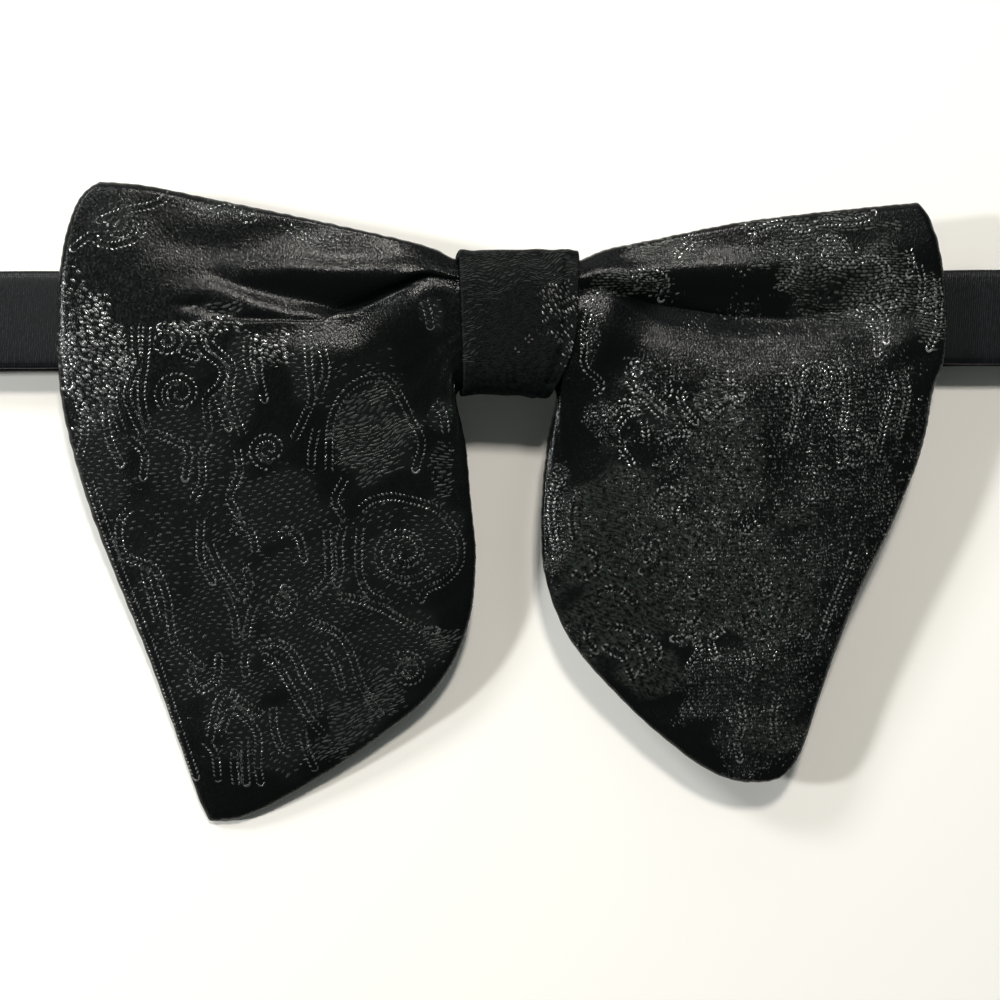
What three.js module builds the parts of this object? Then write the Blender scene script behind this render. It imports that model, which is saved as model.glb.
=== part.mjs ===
import * as THREE from "three";

// An oversized ready-tied bow, lying on its back.
// Millimetres. +X is to the right of the face, +Y up the face and +Z off the surface it lies on.
// The origin is on that surface, under the middle of the knot.

// Cloth
const BLADE_THICKNESS = 2.4;
const KNOT_THICKNESS = 1.3;
const STRAP_THICKNESS = 1.2;
const GAP = 0.3;

// Neck strap, lying flattened double with the bow on its upper run
const STRAP_LOOP = 450;
const STRAP_WIDTH = 19;
const STRAP_UNDER_KNOT = 9.7;
const STRAP_AT_TURN = 7.7;
const STRAP_MIDDLE_Y = 2;
const STRAP_SKEW = 0.6;
const STRAP_LEVEL_REACH = 13;
const STRAP_SAG = { from: 0.4, to: 0.65 };
const STRAP_CURVE_STEPS = 8;

// Slide that joins the strap's two ends, on its lower run
const CLASP_X = 62;
const CLASP_SIZE = { along: 12, across: 24, thick: 1.4, corner: 2 };
const CLASP_END_BAR = 2;
const CLASP_MIDDLE_BAR = 1.6;
const STRAP_END_LAP = { length: 15, slope: 4 };
const SLOT_EASE = 0.5;
const SLOT_CORNER = 0.4;

// Knot, a flat-sided ring round both waists and the upper run of the strap
const KNOT_HALF_HEIGHT = 14;
const KNOT_HALF_DEPTH = 6.9;
const KNOT_MIDDLE_Y = 0.4;
const KNOT_MIDDLE_Z = 13.8;
const KNOT_SQUARENESS = 6;
const KNOT_PUCKER = 0.35;
const KNOT_PLEATS = 3;
const KNOT_STEPS = 48;

// Names the columns of a short table of rows
const table = (columns, rows) =>
  rows.map((row) => Object.fromEntries(columns.map((name, i) => [name, row[i]])));

// Both edges of the knot's band, from its top to its bottom
const KNOT_EDGES = table(["y", "left", "right"], [
  [-14, -10.3, 6.7],
  [-9, -10.4, 9.4],
  [-2.8, -10.6, 11.4],
  [6, -10.9, 11.9],
  [14, -11.1, 12.1],
]);

// Section of the knot's band: how far across it and how deep in its wall each corner lies
const KNOT_SECTION = table(["fraction", "depth"], [
  [0.04, 0],
  [0.35, 0],
  [0.65, 0],
  [0.96, 0],
  [1, 0.5],
  [0.96, 1],
  [0.5, 1],
  [0.04, 1],
  [0, 0.5],
]);

// A wing is a four-sided blade: waist, top edge, outer edge and hem.
// Its outline tables run from the waist outwards, or from the top edge down to the hem.
// A row of folds gives, at one station between waist and outer edge, how far down the blade
// the upper crest, the valley and the lower roll lie, and how high the cloth stands there.
const OUTLINE = ["at", "x", "y"];
const FOLDS = [
  "at", "top", "crestAt", "crest", "valleyAt", "valley", "rollAt", "roll", "belly", "low", "hem",
];
const BELLY_AT = 0.6;
const LOW_AT = 0.85;

const LEFT_WING = {
  topEdge: table(OUTLINE, [
    [0, -0.15, 12.0],
    [0.12, -11.0, 12.4],
    [0.16, -15.0, 14.5],
    [0.3, -26.0, 17.2],
    [0.5, -43.5, 21.0],
    [0.7, -60.2, 24.5],
    [0.85, -70.5, 26.5],
    [1, -79.1, 27.3],
  ]),
  hem: table(OUTLINE, [
    [0, -0.15, -11.5],
    [0.08, -9.0, -11.5],
    [0.1, -11.1, -12.3],
    [0.12, -11.4, -14.0],
    [0.15, -10.8, -16.8],
    [0.22, -9.2, -23.0],
    [0.32, -8.2, -33.0],
    [0.44, -7.1, -46.0],
    [0.55, -8.9, -59.6],
    [0.65, -15.3, -71.2],
    [0.75, -27.0, -81.0],
    [0.85, -39.5, -89.3],
    [0.94, -52.0, -95.8],
    [1, -59.1, -96.8],
  ]),
  outerEdge: table(OUTLINE, [
    [0, -79.1, 27.3],
    [0.04, -82.6, 24.6],
    [0.11, -85.3, 17.8],
    [0.2, -87.0, 7.0],
    [0.3, -87.2, -5.0],
    [0.4, -86.2, -17.0],
    [0.52, -82.1, -33.6],
    [0.64, -76.6, -49.1],
    [0.76, -70.9, -64.0],
    [0.88, -64.8, -81.5],
    [0.96, -61.0, -92.8],
    [1, -59.1, -96.8],
  ]),
  folds: table(FOLDS, [
    [0, 14.6, 0.1, 15.0, 0.165, 14.4, 0.22, 15.0, 14.7, 14.6, 14.6],
    [0.12, 14.6, 0.105, 15.2, 0.165, 14.1, 0.215, 15.2, 14.7, 14.4, 14.2],
    [0.26, 14.2, 0.137, 17.6, 0.255, 13.2, 0.305, 17.9, 14.4, 12.6, 11.5],
    [0.4, 13.8, 0.135, 17.6, 0.295, 12.6, 0.352, 17.2, 13.4, 11.0, 8.8],
    [0.5, 13.5, 0.134, 17.0, 0.295, 12.8, 0.356, 16.2, 12.9, 9.8, 7.3],
    [0.67, 13.1, 0.134, 15.3, 0.255, 12.6, 0.36, 14.4, 11.7, 7.6, 5.0],
    [0.85, 12.5, 0.15, 13.6, 0.24, 12.9, 0.34, 13.2, 9.4, 5.0, 2.4],
    [1, 12.0, 0.16, 12.0, 0.24, 11.8, 0.33, 11.0, 5.8, 2.5, 0.9],
  ]),
};

const RIGHT_WING = {
  topEdge: table(OUTLINE, [
    [0, 0.15, 12.0],
    [0.12, 12.0, 12.4],
    [0.16, 16.0, 14.4],
    [0.3, 26.5, 16.7],
    [0.5, 42.0, 20.0],
    [0.7, 57.0, 22.3],
    [0.85, 69.0, 23.8],
    [1, 79.7, 25.0],
  ]),
  hem: table(OUTLINE, [
    [0, 0.15, -11.5],
    [0.06, 6.6, -11.4],
    [0.08, 8.6, -12.2],
    [0.095, 8.7, -13.8],
    [0.12, 7.6, -16.8],
    [0.2, 6.2, -24.0],
    [0.32, 5.3, -37.0],
    [0.43, 6.3, -49.0],
    [0.54, 11.4, -61.2],
    [0.66, 22.5, -73.6],
    [0.78, 34.5, -83.9],
    [0.88, 42.5, -88.3],
    [0.95, 48.8, -89.1],
    [1, 53.1, -88.3],
  ]),
  outerEdge: table(OUTLINE, [
    [0, 79.7, 25.0],
    [0.04, 82.0, 22.2],
    [0.12, 84.5, 13.7],
    [0.22, 85.6, 2.5],
    [0.29, 85.0, -6.0],
    [0.34, 83.0, -11.5],
    [0.44, 80.7, -23.2],
    [0.54, 75.4, -37.0],
    [0.66, 67.7, -53.3],
    [0.79, 61.8, -69.1],
    [0.89, 58.0, -81.0],
    [0.96, 55.6, -86.0],
    [1, 53.1, -88.3],
  ]),
  folds: table(FOLDS, [
    [0, 14.6, 0.09, 15.0, 0.21, 14.4, 0.28, 15.0, 14.7, 14.6, 14.6],
    [0.135, 14.6, 0.09, 15.2, 0.217, 14.1, 0.295, 15.3, 14.8, 14.5, 14.3],
    [0.24, 14.4, 0.1, 16.8, 0.23, 13.3, 0.325, 17.1, 15.2, 14.4, 13.8],
    [0.35, 14.0, 0.115, 17.5, 0.238, 12.8, 0.352, 17.8, 15.4, 14.2, 13.0],
    [0.52, 14.0, 0.1, 17.5, 0.245, 12.6, 0.328, 17.6, 15.2, 13.8, 12.2],
    [0.66, 14.0, 0.085, 16.4, 0.228, 13.2, 0.3, 16.7, 15.0, 13.2, 11.4],
    [0.8, 13.8, 0.08, 15.4, 0.205, 12.9, 0.285, 15.9, 14.6, 12.6, 10.5],
    [1, 13.5, 0.08, 13.9, 0.2, 13.1, 0.29, 13.8, 13.0, 11.0, 10.0],
  ]),
};

// Gathers fan out of the knot below the roll and die away along the blade
const GATHER_HEIGHT = 0.4;
const GATHER_COUNT = 6;
const GATHER_REACH = 0.42;
const GATHER_FROM = 0.4;
const GATHER_START = 0.25;

// The gathered cloth is bunched thicker at the waist, and thins to the plain blade
const WAIST_BULGE = 2.05;
const WAIST_FROM = 0.12;
const WAIST_TO = 0.34;

// The turned edge thins to a rounded rim
const RIM_THICKNESS = 0.35;
const RIM_WIDTH = 0.03;

// Steepest lean of the cloth that its thickness still follows
const STEEPEST = 0.6;

const BROCADE = { color: 0x0b0b0c, roughness: 0.55, metalness: 0 };
const SATIN = { color: 0x0d0f13, roughness: 0.45, metalness: 0 };
const BLACK_METAL = { color: 0x101010, roughness: 0.4, metalness: 0.3 };

// Smooth curve through a table's column; a level one never swings past its rows
function along(rows, key, column, at, level) {
  const slope = (i, j) => (rows[j][column] - rows[i][column]) / (rows[j][key] - rows[i][key]);
  const last = rows.length - 1;
  const tangent = (i) => {
    if (i === 0) return slope(0, 1);
    if (i === last) return slope(last - 1, last);
    const before = slope(i - 1, i);
    const after = slope(i, i + 1);
    if (!level) return slope(i - 1, i + 1);
    return before * after > 0 ? (2 * before * after) / (before + after) : 0;
  };
  const place = THREE.MathUtils.clamp(at, rows[0][key], rows[last][key]);
  let i = 0;
  while (i < last - 1 && place > rows[i + 1][key]) i += 1;
  const step = rows[i + 1][key] - rows[i][key];
  const t = (place - rows[i][key]) / step;
  const a = rows[i][column];
  const b = rows[i + 1][column];
  return (1 + 2 * t) * (1 - t) ** 2 * a + t * (1 - t) ** 2 * step * tangent(i)
    + t * t * (3 - 2 * t) * b + t * t * (t - 1) * step * tangent(i + 1);
}

// Plan of a blade: u goes from the waist out and v from the top edge down, blended from its four edges
function planPoint(wing, u, v) {
  return ["x", "y"].map((axis) => {
    const top = along(wing.topEdge, "at", axis, u);
    const hem = along(wing.hem, "at", axis, u);
    const outer = along(wing.outerEdge, "at", axis, v);
    const waistTop = wing.topEdge[0][axis];
    const waistHem = wing.hem[0][axis];
    const outerTop = wing.outerEdge[0][axis];
    const outerHem = wing.outerEdge.at(-1)[axis];
    const waist = waistTop + (waistHem - waistTop) * v;
    const corners = (1 - u) * ((1 - v) * waistTop + v * waistHem) + u * ((1 - v) * outerTop + v * outerHem);
    return (1 - v) * top + v * hem + (1 - u) * waist + u * outer - corners;
  });
}

// Ripples that swell and die away along the blade, and across it start below the roll
function gatherHeight(u, v) {
  const swell = Math.sin(Math.PI * Math.min(u / GATHER_REACH, 1)) ** 2;
  const below = Math.max(0, (v - GATHER_FROM) / (1 - GATHER_FROM));
  const start = THREE.MathUtils.smoothstep(below, 0, GATHER_START);
  return GATHER_HEIGHT * swell * start * Math.sin(2 * Math.PI * GATHER_COUNT * below);
}

// Height of the middle of the cloth: the folds table read across the blade, with the gathers
function clothHeight(wing, u, v) {
  const fold = (column) => along(wing.folds, "at", column, u, true);
  const section = [
    { at: 0, z: fold("top") },
    { at: fold("crestAt"), z: fold("crest") },
    { at: fold("valleyAt"), z: fold("valley") },
    { at: fold("rollAt"), z: fold("roll") },
    { at: BELLY_AT, z: fold("belly") },
    { at: LOW_AT, z: fold("low") },
    { at: 1, z: fold("hem") },
  ];
  return along(section, "at", "z", v, true) + gatherHeight(u, v);
}

// Stations across a blade, closer together near its rims and where its folds are
function stations(parts) {
  const list = [parts[0].from];
  for (const { to, steps } of parts) {
    const from = list.at(-1);
    for (let i = 1; i <= steps; i += 1) list.push(from + ((to - from) * i) / steps);
  }
  return list;
}
const OUTWARD = stations([
  { from: 0, to: 0.1, steps: 3 },
  { to: 0.16, steps: 3 },
  { to: 0.97, steps: 20 },
  { to: 1, steps: 2 },
]);
const DOWNWARD = stations([
  { from: 0, to: 0.03, steps: 2 },
  { to: 0.42, steps: 15 },
  { to: 0.97, steps: 12 },
  { to: 1, steps: 2 },
]);

// Half the upright thickness of a blade, bunched at its waist and thinning to its rim
function bladeHalf(u, v, upright) {
  const inset = Math.min(1 - u, v, 1 - v) / RIM_WIDTH;
  const round = Math.sqrt(1 - (1 - Math.min(inset, 1)) ** 2);
  const crown = 1 - (2 * v - 1) ** 4;
  const bunched = WAIST_BULGE * crown * (1 - THREE.MathUtils.smoothstep(u, WAIST_FROM, WAIST_TO));
  const plain = BLADE_THICKNESS / 2 / Math.max(upright, STEEPEST);
  return (plain + bunched) * (RIM_THICKNESS + (1 - RIM_THICKNESS) * round);
}

function indexedGeometry(positions, index) {
  const geometry = new THREE.BufferGeometry();
  geometry.setAttribute("position", new THREE.Float32BufferAttribute(positions, 3));
  geometry.setIndex(index);
  geometry.computeVertexNormals();
  return geometry;
}

function makeMesh(name, geometry, finish) {
  const mesh = new THREE.Mesh(geometry, new THREE.MeshStandardMaterial(finish));
  mesh.name = name;
  return mesh;
}

// Closed body from a face grid, a back grid and the wall that joins their rims
function shellGeometry(faceRows, backRows, flip) {
  const across = faceRows[0].length;
  const down = faceRows.length;
  const positions = [...faceRows.flat(), ...backRows.flat()].flat();
  const face = (i, j) => i * across + j;
  const back = (i, j) => down * across + face(i, j);
  const index = [];
  const quad = (a, b, c, d) => index.push(...(flip ? [a, c, b, a, d, c] : [a, b, c, a, c, d]));
  for (let i = 0; i < down - 1; i += 1) {
    for (let j = 0; j < across - 1; j += 1) {
      quad(face(i, j), face(i + 1, j), face(i + 1, j + 1), face(i, j + 1));
      quad(back(i, j), back(i, j + 1), back(i + 1, j + 1), back(i + 1, j));
    }
  }
  for (let i = 0; i < down - 1; i += 1) {
    quad(face(i, 0), back(i, 0), back(i + 1, 0), face(i + 1, 0));
    quad(face(i, across - 1), face(i + 1, across - 1), back(i + 1, across - 1), back(i, across - 1));
  }
  for (let j = 0; j < across - 1; j += 1) {
    quad(face(0, j), face(0, j + 1), back(0, j + 1), back(0, j));
    quad(face(down - 1, j), back(down - 1, j), back(down - 1, j + 1), face(down - 1, j + 1));
  }
  return indexedGeometry(positions, index);
}

// A blade of cloth; its plan turns over on the left, so its faces are wound the other way there
function makeWing(name, wing, flip) {
  const reach = 1e-3;
  const middle = (u, v) => new THREE.Vector3(...planPoint(wing, u, v), clothHeight(wing, u, v));
  const surface = (u, v, side) => {
    const here = middle(u, v);
    const alongU = middle(Math.min(u + reach, 1), v).sub(middle(Math.max(u - reach, 0), v));
    const alongV = middle(u, Math.min(v + reach, 1)).sub(middle(u, Math.max(v - reach, 0)));
    const upright = Math.abs(alongU.cross(alongV).normalize().z);
    return [here.x, here.y, here.z + side * bladeHalf(u, v, upright)];
  };
  const grid = (side) => OUTWARD.map((u) => DOWNWARD.map((v) => surface(u, v, side)));
  return makeMesh(name, shellGeometry(grid(1), grid(-1), flip), BROCADE);
}

// The band round the waists: its section is swept round a flat-sided ring
function makeKnot() {
  const ring = (halfHeight, halfDepth, turn) => {
    const square = (value) => Math.sign(value) * Math.abs(value) ** (2 / KNOT_SQUARENESS);
    return [halfHeight * square(Math.cos(turn)), halfDepth * square(Math.sin(turn))];
  };
  const corner = (turn, fraction, depth) => {
    const pucker = KNOT_PUCKER * Math.cos(KNOT_PLEATS * Math.PI * (fraction - 0.5)) ** 2;
    const inward = depth * KNOT_THICKNESS + (1 - depth) * pucker;
    const [y, z] = ring(KNOT_HALF_HEIGHT - inward, KNOT_HALF_DEPTH - inward, turn);
    const left = along(KNOT_EDGES, "y", "left", y);
    const right = along(KNOT_EDGES, "y", "right", y);
    return [left + (right - left) * fraction, KNOT_MIDDLE_Y + y, KNOT_MIDDLE_Z + z];
  };
  const rings = KNOT_SECTION.map(({ fraction, depth }) =>
    Array.from({ length: KNOT_STEPS }, (_, i) => corner((2 * Math.PI * i) / KNOT_STEPS, fraction, depth)));
  const index = [];
  const vertex = (i, j) => (i % rings.length) * KNOT_STEPS + (j % KNOT_STEPS);
  for (let i = 0; i < rings.length; i += 1) {
    for (let j = 0; j < KNOT_STEPS; j += 1) {
      const [a, b, c, d] = [vertex(i, j), vertex(i + 1, j), vertex(i + 1, j + 1), vertex(i, j + 1)];
      index.push(a, c, b, a, d, c);
    }
  }
  return makeMesh("knot", indexedGeometry(rings.flat(2), index), BROCADE);
}

// Side view of the strap: from one lapped end, round the clasp's bar, the whole loop, to the other end
function strapPath() {
  const low = STRAP_THICKNESS / 2;
  const turn = (STRAP_AT_TURN - low) / 2;
  const run = (STRAP_LOOP - 2 * Math.PI * turn) / 4;
  const lapTop = CLASP_SIZE.thick + 2 * STRAP_THICKNESS + 2 * GAP - low;
  const lapLow = low + STRAP_THICKNESS + GAP;
  const lapTurn = (lapTop - low) / 2;
  const barTurn = CLASP_SIZE.along / 2 - CLASP_END_BAR;
  const slopeTop = CLASP_SIZE.along / 2 + GAP;
  const slopeFoot = slopeTop + STRAP_END_LAP.slope;
  const lapEnd = barTurn + STRAP_END_LAP.length;
  const sagFrom = STRAP_SAG.from * run;
  const sagTo = STRAP_SAG.to * run;
  const quarter = Math.PI / 2;
  const path = new THREE.Path();
  path.moveTo(CLASP_X - lapEnd, lapLow);
  path.lineTo(CLASP_X - slopeFoot, lapLow);
  path.lineTo(CLASP_X - slopeTop, lapTop);
  path.lineTo(CLASP_X - barTurn, lapTop);
  path.absarc(CLASP_X - barTurn, low + lapTurn, lapTurn, quarter, -quarter, true);
  path.lineTo(-run, low);
  path.absarc(-run, low + turn, turn, -quarter, quarter, true);
  path.bezierCurveTo(-sagTo, STRAP_AT_TURN, -sagFrom, STRAP_UNDER_KNOT, -STRAP_LEVEL_REACH, STRAP_UNDER_KNOT);
  path.lineTo(STRAP_LEVEL_REACH, STRAP_UNDER_KNOT);
  path.bezierCurveTo(sagFrom, STRAP_UNDER_KNOT, sagTo, STRAP_AT_TURN, run, STRAP_AT_TURN);
  path.absarc(run, low + turn, turn, quarter, -quarter, true);
  path.lineTo(CLASP_X + barTurn, low);
  path.absarc(CLASP_X + barTurn, low + lapTurn, lapTurn, -quarter, quarter, true);
  path.lineTo(CLASP_X + slopeTop, lapTop);
  path.lineTo(CLASP_X + slopeFoot, lapLow);
  path.lineTo(CLASP_X + lapEnd, lapLow);
  return path.getPoints(STRAP_CURVE_STEPS);
}

function makeStrap() {
  const points = strapPath();
  const side = (sign) => points.map((point, i) => {
    const before = points[Math.max(i - 1, 0)];
    const after = points[Math.min(i + 1, points.length - 1)];
    const normal = after.clone().sub(before).normalize().rotateAround(new THREE.Vector2(), Math.PI / 2);
    const edge = normal.multiplyScalar((sign * STRAP_THICKNESS) / 2).add(point);
    return [-1, 1].map((end) => [edge.x, (end * STRAP_WIDTH) / 2, edge.y]);
  });
  return makeMesh("neck_strap", shellGeometry(side(1), side(-1), false), SATIN);
}

// An upright outline with rounded corners, its middle at a place along the strap
function roundedOutline(outline, middle, width, height, radius) {
  const [left, right, top] = [middle - width / 2, middle + width / 2, height / 2];
  outline.moveTo(right - radius, -top);
  outline.quadraticCurveTo(right, -top, right, radius - top);
  outline.lineTo(right, top - radius);
  outline.quadraticCurveTo(right, top, right - radius, top);
  outline.lineTo(left + radius, top);
  outline.quadraticCurveTo(left, top, left, top - radius);
  outline.lineTo(left, radius - top);
  outline.quadraticCurveTo(left, -top, left + radius, -top);
  outline.closePath();
  return outline;
}

// A flat slide with two slots: the strap's ends wrap its end bars
function makeClasp() {
  const { along: length, across, thick, corner } = CLASP_SIZE;
  const plate = roundedOutline(new THREE.Shape(), 0, length, across, corner);
  const slotLength = length / 2 - CLASP_END_BAR - CLASP_MIDDLE_BAR / 2;
  const slotMiddle = (CLASP_MIDDLE_BAR + slotLength) / 2;
  const slotAcross = STRAP_WIDTH + 2 * SLOT_EASE;
  plate.holes = [-1, 1].map((side) =>
    roundedOutline(new THREE.Path(), side * slotMiddle, slotLength, slotAcross, SLOT_CORNER));
  const geometry = new THREE.ExtrudeGeometry(plate, { depth: thick, bevelEnabled: false, curveSegments: 3 });
  const clasp = makeMesh("clasp", geometry, BLACK_METAL);
  clasp.position.set(CLASP_X, 0, STRAP_THICKNESS + GAP);
  return clasp;
}

const neckBand = new THREE.Group();
neckBand.position.y = STRAP_MIDDLE_Y;
neckBand.rotation.z = THREE.MathUtils.degToRad(STRAP_SKEW);
neckBand.add(makeStrap(), makeClasp());

const bowTie = new THREE.Group();
bowTie.add(makeWing("left_wing", LEFT_WING, false), makeWing("right_wing", RIGHT_WING, true));
bowTie.add(makeKnot(), neckBand);

export default bowTie;
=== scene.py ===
# %% [markdown]
# # An oversized bow tie in black brocade
# The bow lies on its back on a white table. It has two drooping wings of double cloth, a band of
# the same cloth wrapped round their waists as a knot, and a satin strap that goes round the neck.
# Each piece is made over the solid that the frame gives, and takes that solid's place.

# %% Load the frame
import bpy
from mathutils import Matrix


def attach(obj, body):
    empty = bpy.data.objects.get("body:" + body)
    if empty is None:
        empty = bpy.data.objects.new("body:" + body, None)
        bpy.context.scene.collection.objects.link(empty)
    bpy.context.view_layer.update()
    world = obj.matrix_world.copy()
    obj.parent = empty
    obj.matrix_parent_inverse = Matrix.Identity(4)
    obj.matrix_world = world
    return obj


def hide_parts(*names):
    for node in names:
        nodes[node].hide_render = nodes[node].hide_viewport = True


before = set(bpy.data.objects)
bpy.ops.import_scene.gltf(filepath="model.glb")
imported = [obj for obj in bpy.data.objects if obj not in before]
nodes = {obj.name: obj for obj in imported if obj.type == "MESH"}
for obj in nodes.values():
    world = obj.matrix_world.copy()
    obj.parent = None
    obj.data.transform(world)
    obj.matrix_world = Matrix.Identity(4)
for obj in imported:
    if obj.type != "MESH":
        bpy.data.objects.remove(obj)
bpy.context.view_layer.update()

import math

import bpy
import numpy as np
from mathutils import Vector
from mathutils.kdtree import KDTree

MM = 0.001
print("nodes:", sorted(nodes))

# %% [markdown]
# ## The camera
# The photograph looks straight down, from a little to the left. A lens of about 74 mm at an arm's
# length of 40 cm gives its mild perspective, and the strap runs out of the view on both sides.

# %% Camera
VIEW_CENTRE = Vector((-2.54, -33.6, 12.0)) * MM
VIEW_DISTANCE = 400 * MM
VIEW_LEAN = math.radians(5)
LENS, SENSOR_WIDTH = 74.23, 36

lean_direction = Vector((-math.sin(VIEW_LEAN), 0, math.cos(VIEW_LEAN)))
bpy.ops.object.camera_add(location=VIEW_CENTRE + VIEW_DISTANCE * lean_direction, rotation=(0, -VIEW_LEAN, 0))
camera = bpy.context.object
camera.data.lens = LENS
camera.data.sensor_width = SENSOR_WIDTH
bpy.context.scene.camera = camera
print("camera:", LENS, "mm lens")

# %% [markdown]
# ## The light
# The photograph's shadows give its lights away. The wings throw broad grey shadows to the right and
# to the lower right, so two strong lights stand low on the left. Under the knot and the strap lies
# a short shadow, from a small light high on the far side. A far window greys the steep sides of the folds.

# %% Lights
def add_light(name, wide, tall, power, tint, azimuth, elevation, distance):
    """A lamp aimed at the bow. Azimuth 0 is +X and 90 is +Y, both seen from above."""
    a, e = math.radians(azimuth), math.radians(elevation)
    away = Vector((math.cos(a) * math.cos(e), math.sin(a) * math.cos(e), math.sin(e)))
    bpy.ops.object.light_add(type="AREA", location=VIEW_CENTRE + away * distance)
    lamp = bpy.context.object
    lamp.name = name
    lamp.rotation_mode = "QUATERNION"
    lamp.rotation_quaternion = away.to_track_quat("Z", "Y")
    lamp.data.shape = "RECTANGLE"
    lamp.data.size, lamp.data.size_y = wide, tall
    lamp.data.energy = power
    lamp.data.color = tint

# name, width and height in metres, power, tint, azimuth, elevation, distance in metres
LIGHTS = [
    ("low_left_light", 0.09, 0.09, 7.6, (0.98, 1.0, 1.0), 176, 36, 1.1),
    ("upper_left_light", 0.22, 0.22, 6.0, (0.96, 1.0, 1.0), 138, 32, 1.1),
    ("overhead_light", 0.12, 0.12, 7.1, (1.0, 0.96, 0.9), 90, 60, 1.1),
    ("right_fill_light", 0.3, 0.3, 0.4, (0.93, 1.0, 1.0), 56, 50, 1.1),
    ("far_window_light", 1.2, 0.5, 1.9, (1.0, 1.0, 0.98), 90, 20, 1.3),
]
for light in LIGHTS:
    add_light(*light)

ROOM_TINT, ROOM_BRIGHTNESS = (0.88, 1, 0.96, 1), 0.115
world = bpy.data.worlds.new("soft_room")
bpy.context.scene.world = world
world.use_nodes = True
room_inputs = world.node_tree.nodes["Background"].inputs
room_inputs["Color"].default_value = ROOM_TINT
room_inputs["Strength"].default_value = ROOM_BRIGHTNESS
bpy.context.scene.view_settings.view_transform = "Standard"
print("lights:", len(LIGHTS))

# %% [markdown]
# ## The table
# A plain pale sheet, far larger than the view. It isn't part of the bow.

# %% Table
def new_material(name):
    """An empty material with one Principled shader; returns the material and the shader."""
    material = bpy.data.materials.new(name)
    material.use_nodes = True
    return material, material.node_tree.nodes["Principled BSDF"]

TABLE_SIZE, TABLE_DROP = 3, 0.05 * MM
TABLE_COLOUR, TABLE_ROUGHNESS = (0.89, 0.86, 0.81, 1), 0.7
bpy.ops.mesh.primitive_plane_add(size=TABLE_SIZE, location=(0, 0, -TABLE_DROP))
table_top = bpy.context.object
table_top.name = "table_top"
white, white_shader = new_material("white_table")
white_shader.inputs["Base Color"].default_value = TABLE_COLOUR
white_shader.inputs["Roughness"].default_value = TABLE_ROUGHNESS
table_top.data.materials.append(white)

# %% [markdown]
# ## Reading a table of rows as a smooth curve
# Both wings are drawn by short tables: a row for each place where the edge or a fold turns. A cubic
# through the rows joins them. A level curve never swings past its rows, which suits heights: cloth
# that is pressed flat between two folds must not bulge there by itself.

# %% Smooth curves
def smooth(places, values, at, level=False):
    """Value at each place of `at` of a smooth curve through (places, values), stacked on axis 0."""
    places, values = np.asarray(places, float), np.asarray(values, float)
    steps = np.diff(places, axis=0)
    slopes = np.diff(values, axis=0) / steps
    if level:
        before, after = slopes[:-1], slopes[1:]
        total = np.where(before * after > 0, before + after, 1)
        inner = np.where(before * after > 0, 2 * before * after / total, 0)
    else:
        inner = (values[2:] - values[:-2]) / (places[2:] - places[:-2])
    tangents = np.concatenate([slopes[:1], inner, slopes[-1:]])
    result = values[0] + 0 * at
    for i, step in enumerate(steps):
        t = np.clip((at - places[i]) / step, 0, 1)
        piece = ((1 + 2 * t) * (1 - t) ** 2 * values[i] + t * (1 - t) ** 2 * step * tangents[i]
                 + t * t * (3 - 2 * t) * values[i + 1] + t * t * (t - 1) * step * tangents[i + 1])
        result = np.where(at > places[i], piece, result)
    return result

def smoothstep(low, high, x):
    t = np.clip((x - low) / (high - low), 0, 1)
    return t * t * (3 - 2 * t)

# %% [markdown]
# ## The outlines and folds of the wings
# A wing is a four-sided blade. u runs from its waist, inside the knot, to its outer edge, and v
# from its top edge down to its hem. The numbers are millimetres in the frame. The edges are the
# same as the solids', and the folds lie within a millimetre or two of the solids' folds.

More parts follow.
